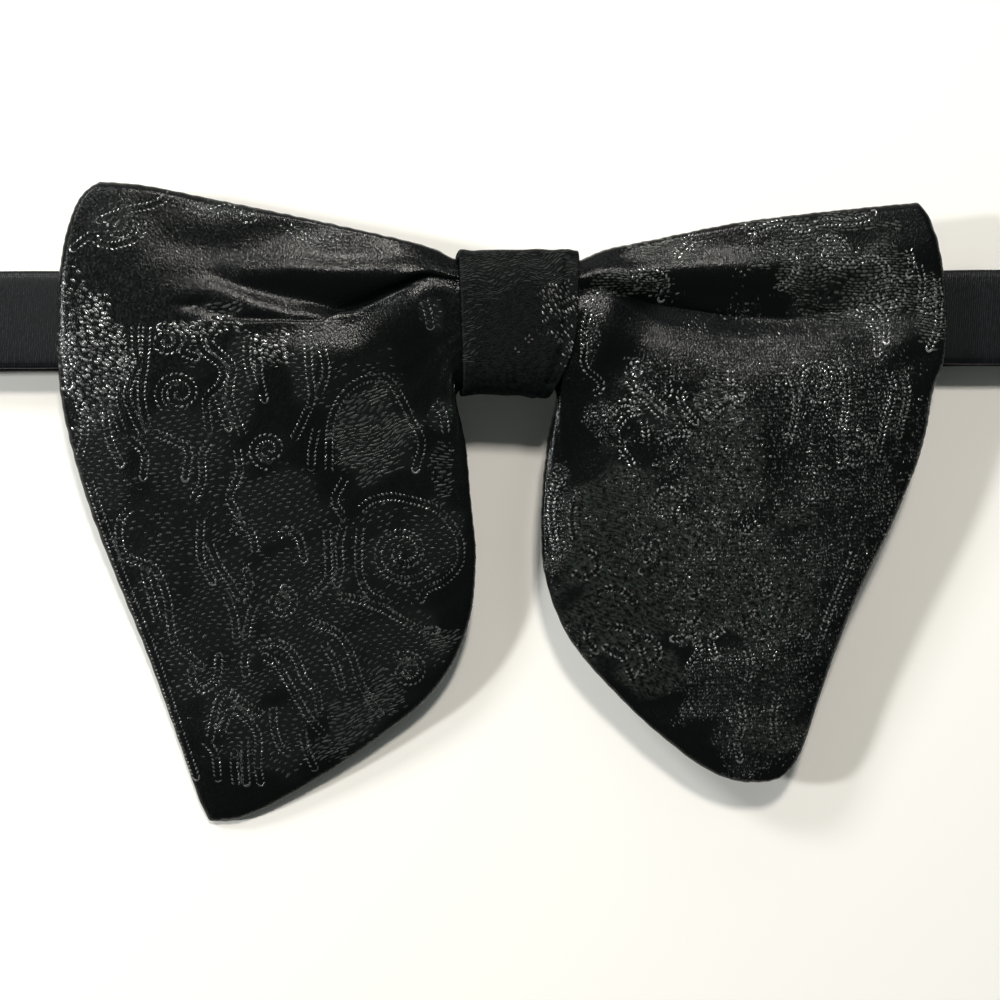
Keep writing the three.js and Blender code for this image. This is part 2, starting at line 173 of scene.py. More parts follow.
# %% Wing tables
LEFT_WING = {
    # at, x, y
    "top_edge": [(0, -0.15, 12.0), (0.12, -11.0, 12.4), (0.16, -15.0, 14.5), (0.3, -26.0, 17.2),
                 (0.5, -43.5, 21.0), (0.7, -60.2, 24.5), (0.85, -70.5, 26.5), (1, -79.1, 27.3)],
    "hem": [(0, -0.15, -11.5), (0.08, -9.0, -11.5), (0.1, -11.1, -12.3), (0.12, -11.4, -14.0),
            (0.15, -10.8, -16.8), (0.22, -9.2, -23.0), (0.32, -8.2, -33.0), (0.44, -7.1, -46.0),
            (0.55, -8.9, -59.6), (0.65, -15.3, -71.2), (0.75, -27.0, -81.0), (0.85, -39.5, -89.3),
            (0.94, -52.0, -95.8), (1, -59.1, -96.8)],
    "outer_edge": [(0, -79.1, 27.3), (0.04, -82.6, 24.6), (0.11, -85.3, 17.8), (0.2, -87.0, 7.0),
                   (0.3, -87.2, -5.0), (0.4, -86.2, -17.0), (0.52, -82.1, -33.6), (0.64, -76.6, -49.1),
                   (0.76, -70.9, -64.0), (0.88, -64.8, -81.5), (0.96, -61.0, -92.8), (1, -59.1, -96.8)],
    # at, top, shoulder_at, shoulder, crest_at, crest, valley_at, valley, brow_at, brow, roll_at, roll,
    # belly, low, hem
    "folds": [(0, 14.6, 0.06, 14.8, 0.1, 15.0, 0.165, 14.4, 0.195, 14.8, 0.23, 15.0, 14.7, 14.6, 14.6),
              (0.12, 15.1, 0.08, 15.2, 0.14, 15.3, 0.175, 14.3, 0.2, 14.8, 0.25, 15.2, 14.7, 14.4, 14.2),
              (0.26, 15.9, 0.115, 16.4, 0.178, 17.0, 0.265, 14.0, 0.29, 15.9, 0.365, 16.9, 14.6, 13.0, 12.0),
              (0.4, 15.4, 0.135, 16.1, 0.186, 16.9, 0.303, 13.3, 0.335, 15.4, 0.41, 16.6, 13.7, 11.9, 10.3),
              (0.5, 14.9, 0.13, 15.6, 0.177, 16.4, 0.25, 14.5, 0.318, 15.8, 0.385, 16.5, 13.0, 10.6, 8.6),
              (0.59, 14.1, 0.132, 14.8, 0.176, 15.6, 0.215, 14.9, 0.262, 15.9, 0.34, 15.9, 12.5, 9.5, 7.2),
              (0.67, 13.3, 0.12, 13.7, 0.165, 14.4, 0.185, 14.4, 0.22, 15.1, 0.3, 15.1, 11.9, 8.2, 6.0),
              (0.85, 12.7, 0.13, 12.8, 0.17, 13.1, 0.19, 13.2, 0.24, 13.4, 0.32, 13.3, 9.6, 5.6, 3.2),
              (1, 11.4, 0.12, 11.8, 0.15, 11.9, 0.19, 11.9, 0.23, 11.8, 0.3, 11.3, 5.8, 2.5, 0.9)],
}
RIGHT_WING = {
    "top_edge": [(0, 0.15, 12.0), (0.12, 12.0, 12.4), (0.16, 16.0, 14.4), (0.3, 26.5, 16.7),
                 (0.5, 42.0, 20.0), (0.7, 57.0, 22.3), (0.85, 69.0, 23.8), (1, 79.7, 25.0)],
    "hem": [(0, 0.15, -11.5), (0.06, 6.6, -11.4), (0.08, 8.6, -12.2), (0.095, 8.7, -13.8),
            (0.12, 7.6, -16.8), (0.2, 6.2, -24.0), (0.32, 5.3, -37.0), (0.43, 6.3, -49.0),
            (0.54, 11.4, -61.2), (0.66, 22.5, -73.6), (0.78, 34.5, -83.9), (0.88, 42.5, -88.3),
            (0.95, 48.8, -89.1), (1, 53.1, -88.3)],
    "outer_edge": [(0, 79.7, 25.0), (0.04, 82.0, 22.2), (0.12, 84.5, 13.7), (0.22, 85.6, 2.5),
                   (0.29, 85.0, -6.0), (0.34, 83.0, -11.5), (0.44, 80.7, -23.2), (0.54, 75.4, -37.0),
                   (0.66, 67.7, -53.3), (0.79, 61.8, -69.1), (0.89, 58.0, -81.0), (0.96, 55.6, -86.0),
                   (1, 53.1, -88.3)],
    "folds": [(0, 14.6, 0.05, 14.8, 0.09, 15.0, 0.21, 14.4, 0.25, 14.8, 0.29, 15.0, 14.7, 14.6, 14.6),
              (0.135, 14.6, 0.05, 14.85, 0.12, 15.2, 0.21, 14.1, 0.27, 14.8, 0.36, 15.3, 14.8, 14.5, 14.3),
              (0.24, 15.6, 0.09, 16.1, 0.15, 16.7, 0.238, 13.9, 0.3, 15.7, 0.41, 16.5, 15.3, 14.4, 13.8),
              (0.35, 15.9, 0.085, 16.4, 0.132, 17.0, 0.25, 13.3, 0.318, 15.8, 0.4, 16.7, 15.3, 14.2, 13.0),
              (0.52, 16.2, 0.085, 16.6, 0.128, 17.3, 0.245, 13.2, 0.3, 15.6, 0.395, 16.8, 15.2, 13.8, 12.2),
              (0.66, 15.3, 0.08, 15.7, 0.122, 16.4, 0.228, 13.5, 0.275, 15.4, 0.36, 16.4, 15.0, 13.2, 11.4),
              (0.8, 14.3, 0.075, 14.6, 0.112, 15.2, 0.205, 13.4, 0.25, 14.6, 0.33, 15.7, 14.5, 12.6, 10.5),
              (1, 13.2, 0.045, 13.4, 0.09, 13.8, 0.2, 13.2, 0.25, 13.5, 0.3, 13.7, 12.9, 11.0, 10.0)],
}
WINGS = {"left_wing": LEFT_WING, "right_wing": RIGHT_WING}
BELLY_AT, LOW_AT = 0.6, 0.85

# %% [markdown]
# ## From tables to a surface
# The plan of a blade is blended from its four edges, the way a patch of cloth is stretched in a
# frame. The height comes from the folds' rows, read across the blade from the top edge to the hem.

# %% Blade surface
def edge_point(rows, at):
    """The x and y of an edge at each place along it."""
    rows = np.array(rows)
    shape = (-1,) + (1,) * at.ndim
    return [smooth(rows[:, 0].reshape(shape), rows[:, axis].reshape(shape), at) for axis in (1, 2)]

def blade_plan(wing, u, v):
    top, hem = edge_point(wing["top_edge"], u), edge_point(wing["hem"], u)
    outer = edge_point(wing["outer_edge"], v)
    plan = []
    for axis in (0, 1):
        waist_top, waist_hem = wing["top_edge"][0][axis + 1], wing["hem"][0][axis + 1]
        outer_top, outer_hem = wing["outer_edge"][0][axis + 1], wing["outer_edge"][-1][axis + 1]
        waist = waist_top + (waist_hem - waist_top) * v
        corners = (1 - u) * ((1 - v) * waist_top + v * waist_hem) + u * ((1 - v) * outer_top + v * outer_hem)
        plan.append((1 - v) * top[axis] + v * hem[axis] + (1 - u) * waist + u * outer[axis] - corners)
    return plan

def fold_height(wing, u, v):
    rows = np.array(wing["folds"])
    shape = (-1,) + (1,) * u.ndim
    stations = rows[:, 0].reshape(shape)
    columns = [smooth(stations, rows[:, i].reshape(shape), u, level=True) for i in range(1, rows.shape[1])]
    flat = np.zeros_like(u)
    places = np.stack([flat, *columns[1:11:2], flat + BELLY_AT, flat + LOW_AT, flat + 1])
    heights = np.stack([*columns[0:11:2], *columns[11:]])
    return smooth(places, heights, v, level=True)

GATHERS = {"height": 0.05, "count": 6, "reach": 0.42, "from": 0.4, "start": 0.25}
BLADE_THICKNESS = 2.4
STEEPEST = 0.6
WAIST_BULGE, WAIST_FROM, WAIST_TO = 2.05, 0.12, 0.34
RIM_THICKNESS, RIM_WIDTH = 0.35, 0.013

def gather_height(u, v):
    swell = np.sin(np.pi * np.minimum(u / GATHERS["reach"], 1)) ** 2
    below = np.maximum(0, (v - GATHERS["from"]) / (1 - GATHERS["from"]))
    start = smoothstep(0, GATHERS["start"], below)
    return GATHERS["height"] * swell * start * np.sin(2 * np.pi * GATHERS["count"] * below)

def blade_middle(wing, u, v):
    """Middle of the cloth, in millimetres, as an array of points."""
    x, y = blade_plan(wing, u, v)
    return np.stack([x, y, fold_height(wing, u, v) + gather_height(u, v)], axis=-1)

def blade_half(u, v, upright):
    """Half the upright thickness: bunched at the waist, and thinning to the turned rim."""
    inset = np.minimum(np.minimum(np.minimum(1 - u, v), 1 - v) / RIM_WIDTH, 1)
    rim = np.sqrt(1 - (1 - inset) ** 2)
    crown = 1 - (2 * v - 1) ** 4
    bunched = WAIST_BULGE * crown * (1 - smoothstep(WAIST_FROM, WAIST_TO, u))
    plain = BLADE_THICKNESS / 2 / np.maximum(upright, STEEPEST)
    return (plain + bunched) * (RIM_THICKNESS + (1 - RIM_THICKNESS) * rim)

def blade_surface(wing, u, v, side):
    """Points of the cloth's face (side 1) or back (side -1)."""
    step = 0.002
    middle = blade_middle(wing, u, v)
    along_u = blade_middle(wing, np.minimum(u + step, 1), v) - blade_middle(wing, np.maximum(u - step, 0), v)
    along_v = blade_middle(wing, u, np.minimum(v + step, 1)) - blade_middle(wing, u, np.maximum(v - step, 0))
    normal = np.cross(along_u, along_v)
    upright = np.abs(normal[:, 2]) / np.linalg.norm(normal, axis=1)
    middle[:, 2] += side * blade_half(u, v, upright)
    return middle

# %% [markdown]
# ## A blade of double cloth
# A real wing is two cloths sewn round the edge and turned. A flat grid is given a thickness, which
# makes face, back and rim in one closed mesh, and each point of it is then laid where the tables
# say. The grid's lines are closer together at the rim, where the cloth turns round.

# %% Cut and lay the blades
def select_only(piece):
    bpy.ops.object.select_all(action="DESELECT")
    piece.select_set(True)
    bpy.context.view_layer.objects.active = piece

def apply_modifier(piece, kind, **settings):
    """Adds a modifier with its settings and applies it."""
    select_only(piece)
    bpy.ops.object.modifier_add(type=kind)
    modifier = piece.modifiers[-1]
    for setting, value in settings.items():
        setattr(modifier, setting, value)
    bpy.ops.object.modifier_apply(modifier=modifier.name)

def subdivide(piece):
    apply_modifier(piece, "SUBSURF", levels=1, render_levels=1)

def read_points(piece):
    points = np.empty(len(piece.data.vertices) * 3)
    piece.data.vertices.foreach_get("co", points)
    return points.reshape(-1, 3)

def write_points(piece, points):
    piece.data.vertices.foreach_set("co", np.ravel(points))
    piece.data.update()

def read_values(piece, name):
    layer = piece.data.attributes[name].data
    values = np.empty(len(layer))
    layer.foreach_get("value", values)
    return values

def write_values(piece, name, values):
    attributes = piece.data.attributes
    layer = attributes.get(name) or attributes.new(name, "FLOAT", "POINT")
    layer.data.foreach_set("value", values)

# cell of the grid, place on the blade: cells are smaller at the rims and along the crease
OUTWARD_PLACES = [(0, 0), (4, 0.1), (48, 0.975), (50, 1)]
DOWNWARD_PLACES = [(0, 0), (2, 0.025), (9, 0.17), (24, 0.33), (29, 0.42), (54, 0.975), (56, 1)]
CELLS_OUTWARD, CELLS_DOWNWARD = OUTWARD_PLACES[-1][0], DOWNWARD_PLACES[-1][0]

def spread(share, places):
    """Moves evenly spaced shares of a grid to the places that its cells have in a table."""
    cells, stations = zip(*places)
    return np.interp(share, np.array(cells) / cells[-1], stations)

def cut_blade(name, wing, outward):
    """A closed blade of face, back and rim, laid along its folds; outward is 1 for the right wing."""
    bpy.ops.object.select_all(action="DESELECT")
    bpy.ops.mesh.primitive_grid_add(x_subdivisions=CELLS_OUTWARD, y_subdivisions=CELLS_DOWNWARD, size=1)
    blade = bpy.context.object
    blade.name = name
    apply_modifier(blade, "SOLIDIFY", thickness=0.5, offset=0)
    flat = read_points(blade)
    u = spread(np.clip(0.5 + outward * flat[:, 0], 0, 1), OUTWARD_PLACES)
    v = spread(np.clip(0.5 - flat[:, 1], 0, 1), DOWNWARD_PLACES)
    side = np.sign(flat[:, 2])
    write_points(blade, blade_surface(wing, u, v, side) * MM)
    for value_name, values in (("outward", u), ("downward", v), ("side", side)):
        write_values(blade, value_name, values)
    return blade

blades = {
    "left_wing": cut_blade("left_wing_cloth", LEFT_WING, -1),
    "right_wing": cut_blade("right_wing_cloth", RIGHT_WING, 1),
}
for node, blade in blades.items():
    print(node, "blade:", len(blade.data.vertices), "points")

# %% [markdown]
# ## Letting the cloth settle
# Double cloth isn't a board. The air and the interlining between its two layers puff it up a
# little, and the cloth is a touch too long for the shape that the stitches hold, so it buckles
# softly. Blender's Cloth does both: a small pressure inside the closed blade, and threads that want
# to be a little longer. The waist is pinned, because the knot grips it. Gravity is
# off, because the tables already say how the blade hangs.

# %% Puff and buckle
SETTLE_FRAMES = 14
SETTLE_PRESSURE = 0.9
CLOTH_GROWTH = 0.006
MOST_MOVED = 0.9
BACK_SHARE = 0.25
PINNED_TO, FREE_FROM = 0.2, 0.42

def settle(piece):
    """Runs the cloth on a blade, and keeps a capped share of what it moved."""
    before = read_points(piece)
    pinned = 1 - smoothstep(PINNED_TO, FREE_FROM, read_values(piece, "outward"))
    group = piece.vertex_groups.new(name="pinned")
    for index in np.nonzero(pinned > 0)[0]:
        group.add([int(index)], float(pinned[index]), "REPLACE")
    select_only(piece)
    bpy.ops.object.modifier_add(type="CLOTH")
    cloth = piece.modifiers[-1]
    cloth.settings.use_pressure = True
    cloth.settings.uniform_pressure_force = SETTLE_PRESSURE
    cloth.settings.shrink_min = -CLOTH_GROWTH
    cloth.settings.vertex_group_mass = "pinned"
    cloth.settings.effector_weights.gravity = 0
    cloth.collision_settings.use_collision = False
    cloth.point_cache.frame_start, cloth.point_cache.frame_end = 1, SETTLE_FRAMES
    for frame_number in range(1, SETTLE_FRAMES + 1):
        bpy.context.scene.frame_set(frame_number)
    bpy.ops.object.modifier_apply(modifier=cloth.name)
    bpy.context.scene.frame_set(1)
    moved = (read_points(piece) - before) / MM
    distance = np.linalg.norm(moved, axis=1, keepdims=True)
    moved /= 1 + distance / MOST_MOVED
    moved[read_values(piece, "side") < 0] *= BACK_SHARE
    write_points(piece, before + moved * MM)
    piece.vertex_groups.clear()
    print(piece.name, "settled: most moved", round(np.linalg.norm(moved, axis=1).max(), 2), "mm")

for blade in blades.values():
    settle(blade)
    subdivide(blade)
    subdivide(blade)

# %% [markdown]
# ## Creases and small bumps
# Where the upper panel meets the roll below it, the cloth is folded sharply: the roll's lip stands
# over a narrow groove and leans on the panel. Such a crease is sharper than the tables can say, so
# it is pressed in afterwards, by the distance of each point from a line across the blade. The
# stitched edges get the slight unevenness of turned cloth.

# %% Press the creases in
# outward, downward along the crease, strength there
CREASES = {
    "left_wing": [(0.11, 0.166, 0.3), (0.18, 0.212, 0.8), (0.245, 0.258, 1.0), (0.32, 0.29, 1.0),
                  (0.417, 0.307, 1.0), (0.473, 0.32, 0.7), (0.56, 0.292, 0.25), (0.64, 0.28, 0.2),
                  (0.71, 0.263, 0.0)],
    "right_wing": [(0.12, 0.205, 0.3), (0.212, 0.24, 0.9), (0.323, 0.25, 1.0), (0.52, 0.245, 1.0),
                   (0.66, 0.228, 0.8), (0.765, 0.205, 0.4), (0.85, 0.19, 0.0)],
}
GROOVE_DEPTH, GROOVE_REACH = 0.5, 1.3
LIP_HEIGHT, LIP_START, LIP_REACH = 0.25, 0.3, 3.2
LIP_LEAN = 0.9
# middle x, middle y, half width, half height, rise in mm: small bumps and dimples of the face
BUMPS = {
    "left_wing": [(-60.5, 3.4, 2.8, 1.1, -0.55), (-56, 2.0, 3.0, 1.1, -0.6), (-51, 1.0, 4.0, 0.7, -0.3),
                  (-70, -14, 5, 9, 0.35),
                  (-60, -30, 6, 7, -0.4), (-44, -30, 6, 8, 0.3), (-52, -62, 7, 9, -0.35),
                  (-36, -66, 7, 8, 0.35),
                  (-22, -45, 6, 6, 0.35), (-28, -19, 6, 8, 0.35), (-13, -25, 3, 9, -0.35),
                  (-66, -50, 5, 9, 0.35), (-56, -80, 5, 6, 0.3)],
    "right_wing": [(61.5, 3.0, 3.4, 0.9, -0.6), (76, -2.5, 4, 3, 0.3), (20, -8, 4, 3.5, -0.6),
                   (17, -18, 4, 4, 0.55),
                   (25, -13, 3, 5, 0.3), (54, -29, 4, 5, -0.55), (60, -34, 5, 3, 0.45),
                   (54.5, -41, 4.5, 2.6, -0.5),
                   (62, -46, 5, 4, 0.4), (66, -20, 4, 9, 0.35), (74, -17, 2.5, 9, 0.4),
                   (48, -14, 6, 6, 0.35),
                   (40, -24, 4, 7, -0.3), (29, -73, 9, 3.5, -0.7), (45, -66, 9, 5, 1.1),
                   (57, -64, 3, 8, -0.4), (46, -80, 7, 4, 0.6), (67, -21, 6, 4, 0.6),
                   (30, -50, 9, 7, 0.3), (20, -60, 6, 5, -0.3)],
}

def crease(piece, wing, rows):
    """Moves the face's points near a crease: a groove above its line, a lip that leans over it below."""
    u, v = read_values(piece, "outward"), read_values(piece, "downward")
    stations, downs, strengths = (np.array(column) for column in zip(*rows))
    line, strength = np.interp(u, stations, downs), np.interp(u, stations, strengths, left=0, right=0)
    top, hem = (np.stack(edge_point(wing[edge], u), axis=1) for edge in ("top_edge", "hem"))
    below = (v - line) * np.linalg.norm(hem - top, axis=1)
    face = strength * (read_values(piece, "side") > 0)
    groove = np.where(below < 0, np.exp(-((below / GROOVE_REACH) ** 2)), np.exp(-((below / LIP_START) ** 2)))
    lip = (1 - np.exp(-((below / LIP_START) ** 2))) * np.exp(-((below / LIP_REACH) ** 2)) * (below > 0)
    points = read_points(piece)
    points[:, 2] += face * (LIP_HEIGHT * lip - GROOVE_DEPTH * groove) * MM
    points[:, 1] += face * LIP_LEAN * lip * MM
    write_points(piece, points)

def raise_bumps(piece, rows):
    points = read_points(piece)
    face = read_values(piece, "side") > 0
    for middle_x, middle_y, half_width, half_height, rise in rows:
        across = (points[:, 0] / MM - middle_x) / half_width
        down = (points[:, 1] / MM - middle_y) / half_height
        points[:, 2] += rise * np.exp(-(across ** 2 + down ** 2)) * face * MM
    write_points(piece, points)

SCALLOP, SCALLOP_STEP, SCALLOP_REACH = 0.045, 2.3, 0.025

def roughen_rim(piece):
    """Moves the rim in and out by less than a tenth of a millimetre, as turned and stitched cloth does."""
    points = read_points(piece)
    u, v = read_values(piece, "outward"), read_values(piece, "downward")
    at_rim = 1 - smoothstep(0, SCALLOP_REACH, np.minimum(np.minimum(1 - u, v), 1 - v))
    x, y = points[:, 0] / MM, points[:, 1] / MM
    stitches = np.sin((x + 0.9 * y) * 2 * np.pi / SCALLOP_STEP)
    uneven = 0.8 * np.sin(x * 1.31 - y * 0.83 + 2 * np.sin(y / 7))
    middle = points[:, :2].mean(axis=0)
    away = points[:, :2] - middle
    away /= np.linalg.norm(away, axis=1, keepdims=True)
    points[:, :2] += away * (SCALLOP * (stitches + uneven) * at_rim)[:, None] * MM
    write_points(piece, points)

for node, wing in WINGS.items():
    crease(blades[node], wing, CREASES[node])
    raise_bumps(blades[node], BUMPS[node])
    roughen_rim(blades[node])
    lowest = read_points(blades[node])[:, 2].min() / MM
    print(node, "lowest point:", round(lowest, 2), "mm")

# %% [markdown]
# ## The knot
# A real knot is a band of the same brocade, wrapped once round both waists and the strap and sewn
# behind. It is a ring with a flat section, so a torus is the right start: its large turn goes round
# the waists, and its small turn goes round the cloth's thickness, over the face, round one raw edge,
# and back inside.

# %% Wrap the knot
KNOT_HALF_HEIGHT, KNOT_HALF_DEPTH = 14, 6.9
KNOT_MIDDLE_Y, KNOT_MIDDLE_Z = 0.4, 13.8
KNOT_SQUARENESS = 6
KNOT_THICKNESS = 1.3
KNOT_CELLS_ROUND, KNOT_CELLS_ACROSS, RING_RADIUS = 112, 72, 2
# y, left edge, right edge
KNOT_EDGES = np.array([(-14, -10.3, 6.7), (-9, -10.4, 9.4), (-2.8, -10.6, 11.4), (6, -10.9, 11.9),
                       (14, -11.1, 12.1)])
# share of the small turn, place across the band from its left edge (0) to its right (1), depth
KNOT_SECTION = np.array([(0, 0.014, 0), (0.45, 0.986, 0), (0.47, 0.996, 0.15), (0.485, 1, 0.5),
                         (0.5, 0.996, 0.85), (0.52, 0.986, 1), (0.95, 0.014, 1), (0.965, 0.004, 0.85),
                         (0.98, 0, 0.5), (0.99, 0.004, 0.15), (1, 0.014, 0)])
# how deep the soft pleats of the face are, where across the band each one lies, and its half width
KNOT_PLEATS = [(0.1, 0.22, 0.09), (0.3, 0.885, 0.02), (0.35, 0.93, 0.018), (0.3, 0.965, 0.012)]
# a fold of the seam stands up at the top right, and the lower edge is uneven: share across, width, rise
KNOT_TOP_LUMPS = [(0.9, 0.06, 0.5), (0.66, 0.08, 0.22), (0.12, 0.05, -0.25)]
KNOT_FOOT_LUMPS = [(0.98, 0.2, 0.4), (0.66, 0.12, -0.35), (0.4, 0.14, -0.4), (0.2, 0.14, -0.35)]

def lumps(places, across):
    return sum(rise * np.exp(-(((across - at) / width) ** 2)) for at, width, rise in places)

def square_ring(half_height, half_depth, share):
    """Points at even distances round a rounded square, starting at its top."""
    turn = np.linspace(0, 2 * np.pi, 4001)
    y = half_height * np.sign(np.cos(turn)) * np.abs(np.cos(turn)) ** (2 / KNOT_SQUARENESS)
    z = half_depth * np.sign(np.sin(turn)) * np.abs(np.sin(turn)) ** (2 / KNOT_SQUARENESS)
    run = np.concatenate([[0], np.cumsum(np.hypot(np.diff(y), np.diff(z)))])
    at = share * run[-1]
    return np.interp(at, run, y), np.interp(at, run, z), run[-1]

bpy.ops.object.select_all(action="DESELECT")
bpy.ops.mesh.primitive_torus_add(major_segments=KNOT_CELLS_ROUND, minor_segments=KNOT_CELLS_ACROSS,
                                 major_radius=RING_RADIUS, minor_radius=1)
knot = bpy.context.object
knot.name = "knot_cloth"
ring_points = read_points(knot)
round_waist = np.arctan2(ring_points[:, 1], ring_points[:, 0]) / (2 * np.pi) % 1
out_of_ring = np.hypot(ring_points[:, 0], ring_points[:, 1]) - RING_RADIUS
small_turn = np.arctan2(ring_points[:, 2], out_of_ring) / (2 * np.pi) % 1
across = np.interp(small_turn, KNOT_SECTION[:, 0], KNOT_SECTION[:, 1])
depth = np.interp(small_turn, KNOT_SECTION[:, 0], KNOT_SECTION[:, 2])

ring_y, ring_z, knot_round = square_ring(KNOT_HALF_HEIGHT, KNOT_HALF_DEPTH, round_waist)
outward_y, outward_z = ring_y / KNOT_HALF_HEIGHT, ring_z / KNOT_HALF_DEPTH
outward_size = np.hypot(outward_y ** 5, outward_z ** 5)
outward_y, outward_z = outward_y ** 5 / outward_size, outward_z ** 5 / outward_size
sunk = KNOT_THICKNESS * depth
sunk += (1 - depth) * sum(deep * np.exp(-(((across - at) / wide) ** 2)) for deep, at, wide in KNOT_PLEATS)
sunk -= lumps(KNOT_TOP_LUMPS, across) * smoothstep(0.6, 0.95, outward_y)
sunk -= lumps(KNOT_FOOT_LUMPS, across) * smoothstep(0.6, 0.95, -outward_y)
knot_y, knot_z = ring_y - sunk * outward_y, ring_z - sunk * outward_z
within = np.clip(knot_y, -KNOT_HALF_HEIGHT, KNOT_HALF_HEIGHT)
left_edge, right_edge = (smooth(KNOT_EDGES[:, 0], KNOT_EDGES[:, side], within) for side in (1, 2))
knot_x = left_edge + (right_edge - left_edge) * across
write_points(knot, np.stack([knot_x, KNOT_MIDDLE_Y + knot_y, KNOT_MIDDLE_Z + knot_z], axis=1) * MM)
write_values(knot, "round_cos", np.cos(2 * np.pi * round_waist))
write_values(knot, "round_sin", np.sin(2 * np.pi * round_waist))
# the raw edges and the foot are matt
write_values(knot, "edge_share", np.maximum(4 * depth * (1 - depth), smoothstep(0.3, 0.8, -outward_y)))
subdivide(knot)
print("knot:", len(knot.data.vertices), "points,", round(knot_round, 1), "mm round")

# %% [markdown]
# ## The neck strap
# One satin ribbon, 19 mm wide, goes round the neck in a loop of 450 mm. It lies here flattened
# double: the upper run passes through the knot, and the lower run lies on the table, where its ends
# wrap the bars of the slide. A ribbon is a long flat slab, so a slab is laid along the loop's path.

# %% The loop's path
STRAP_THICKNESS, STRAP_WIDTH, STRAP_LOOP, STRAP_GAP = 1.2, 19, 450, 0.3
STRAP_UNDER_KNOT, STRAP_AT_TURN = 9.7, 7.7
STRAP_LEVEL_REACH = 13
STRAP_SAG_FROM, STRAP_SAG_TO = 0.4, 0.65
STRAP_MIDDLE_Y, STRAP_SKEW = 2, math.radians(0.6)
CLASP_X, CLASP_ALONG, CLASP_THICK, CLASP_END_BAR = 62, 12, 1.4, 2
LAP_LENGTH, LAP_SLOPE = 15, 4

def arc(x, z, radius, start, stop, count=24):
    turn = np.radians(np.linspace(start, stop, count))
    return [(x + radius * math.cos(a), z + radius * math.sin(a)) for a in turn]

def bezier(a, b, c, d, count=40):
    t = np.linspace(0, 1, count)[:, None]
    a, b, c, d = (np.array(point, float) for point in (a, b, c, d))
    curve = (1 - t) ** 3 * a + 3 * t * (1 - t) ** 2 * b + 3 * t * t * (1 - t) * c + t ** 3 * d
    return [tuple(point) for point in curve]

def strap_path():
    """Side view of the ribbon's middle, from one lapped end to the other, as x and z."""
    low = STRAP_THICKNESS / 2
    turn = (STRAP_AT_TURN - low) / 2
    run = (STRAP_LOOP - 2 * math.pi * turn) / 4
    lap_top = CLASP_THICK + 2 * STRAP_THICKNESS + 2 * STRAP_GAP - low
    lap_low = low + STRAP_THICKNESS + STRAP_GAP
    lap_turn = (lap_top - low) / 2
    bar_turn = CLASP_ALONG / 2 - CLASP_END_BAR
    slope_top = CLASP_ALONG / 2 + STRAP_GAP
    slope_foot = slope_top + LAP_SLOPE
    lap_end = bar_turn + LAP_LENGTH
    sag_from, sag_to = STRAP_SAG_FROM * run, STRAP_SAG_TO * run
    left_lap = [(CLASP_X - lap_end, lap_low), (CLASP_X - slope_foot, lap_low),
                (CLASP_X - slope_top, lap_top)]
    right_lap = [(2 * CLASP_X - x, z) for x, z in reversed(left_lap)]
    high, upper = STRAP_UNDER_KNOT, STRAP_AT_TURN
    return (left_lap + arc(CLASP_X - bar_turn, low + lap_turn, lap_turn, 90, -90)
            + arc(-run, low + turn, turn, 270, 90)
            + bezier((-run, upper), (-sag_to, upper), (-sag_from, high), (-STRAP_LEVEL_REACH, high))
            + bezier((STRAP_LEVEL_REACH, high), (sag_from, high), (sag_to, upper), (run, upper))
            + arc(run, low + turn, turn, 90, -90)
            + arc(CLASP_X + bar_turn, low + lap_turn, lap_turn, -90, 90) + right_lap)

path = np.array(strap_path())
path_run = np.concatenate([[0], np.cumsum(np.hypot(*np.diff(path, axis=0).T))])
strap_length = path_run[-1]
print("ribbon:", round(strap_length, 1), "mm with its laps")

# %% Lay the ribbon
STRAP_CELLS_ALONG, STRAP_CELLS_ACROSS = 420, 8
STRAP_EDGE_THIN = 0.72

bpy.ops.object.select_all(action="DESELECT")
bpy.ops.mesh.primitive_grid_add(x_subdivisions=STRAP_CELLS_ALONG, y_subdivisions=STRAP_CELLS_ACROSS, size=1)
strap = bpy.context.object
strap.name = "strap_band"
apply_modifier(strap, "SOLIDIFY", thickness=0.5, offset=0)
flat = read_points(strap)
strap_at = (flat[:, 0] + 0.5) * strap_length
strap_across = np.interp(flat[:, 1], [-0.5, -0.42, 0.42, 0.5], [-0.5, -0.475, 0.475, 0.5]) * STRAP_WIDTH
ahead, behind = np.minimum(strap_at + 0.4, strap_length), np.maximum(strap_at - 0.4, 0)
strap_x, strap_z = (np.interp(strap_at, path_run, path[:, axis]) for axis in (0, 1))
heading_x, heading_z = (np.interp(ahead, path_run, side) - np.interp(behind, path_run, side)
                        for side in path.T)
heading = np.hypot(heading_x, heading_z)
# the selvedges are pressed thinner than the middle, and the ribbon's edge wavers by a hair
edge = smoothstep(0.42, 0.5, np.abs(strap_across) / STRAP_WIDTH)
half = STRAP_THICKNESS / 2 * (1 - (1 - STRAP_EDGE_THIN) * edge) * np.sign(flat[:, 2])
waver = 0.08 * np.sin(strap_at / 9.0) + 0.05 * np.sin(strap_at / 3.7 + 1)
strap_x, strap_z = strap_x - heading_z / heading * half, strap_z + heading_x / heading * half
strap_y = strap_across + waver * np.sign(strap_across) * edge
turned_x = strap_x * math.cos(STRAP_SKEW) - strap_y * math.sin(STRAP_SKEW)
turned_y = strap_x * math.sin(STRAP_SKEW) + strap_y * math.cos(STRAP_SKEW) + STRAP_MIDDLE_Y
write_points(strap, np.stack([turned_x, turned_y, strap_z], axis=1) * MM)
write_values(strap, "strap_along", strap_at)
write_values(strap, "strap_across", strap_across)
subdivide(strap)
select_only(strap)
bpy.ops.object.mode_set(mode="EDIT")
bpy.ops.mesh.select_all(action="SELECT")
bpy.ops.mesh.normals_make_consistent(inside=False)
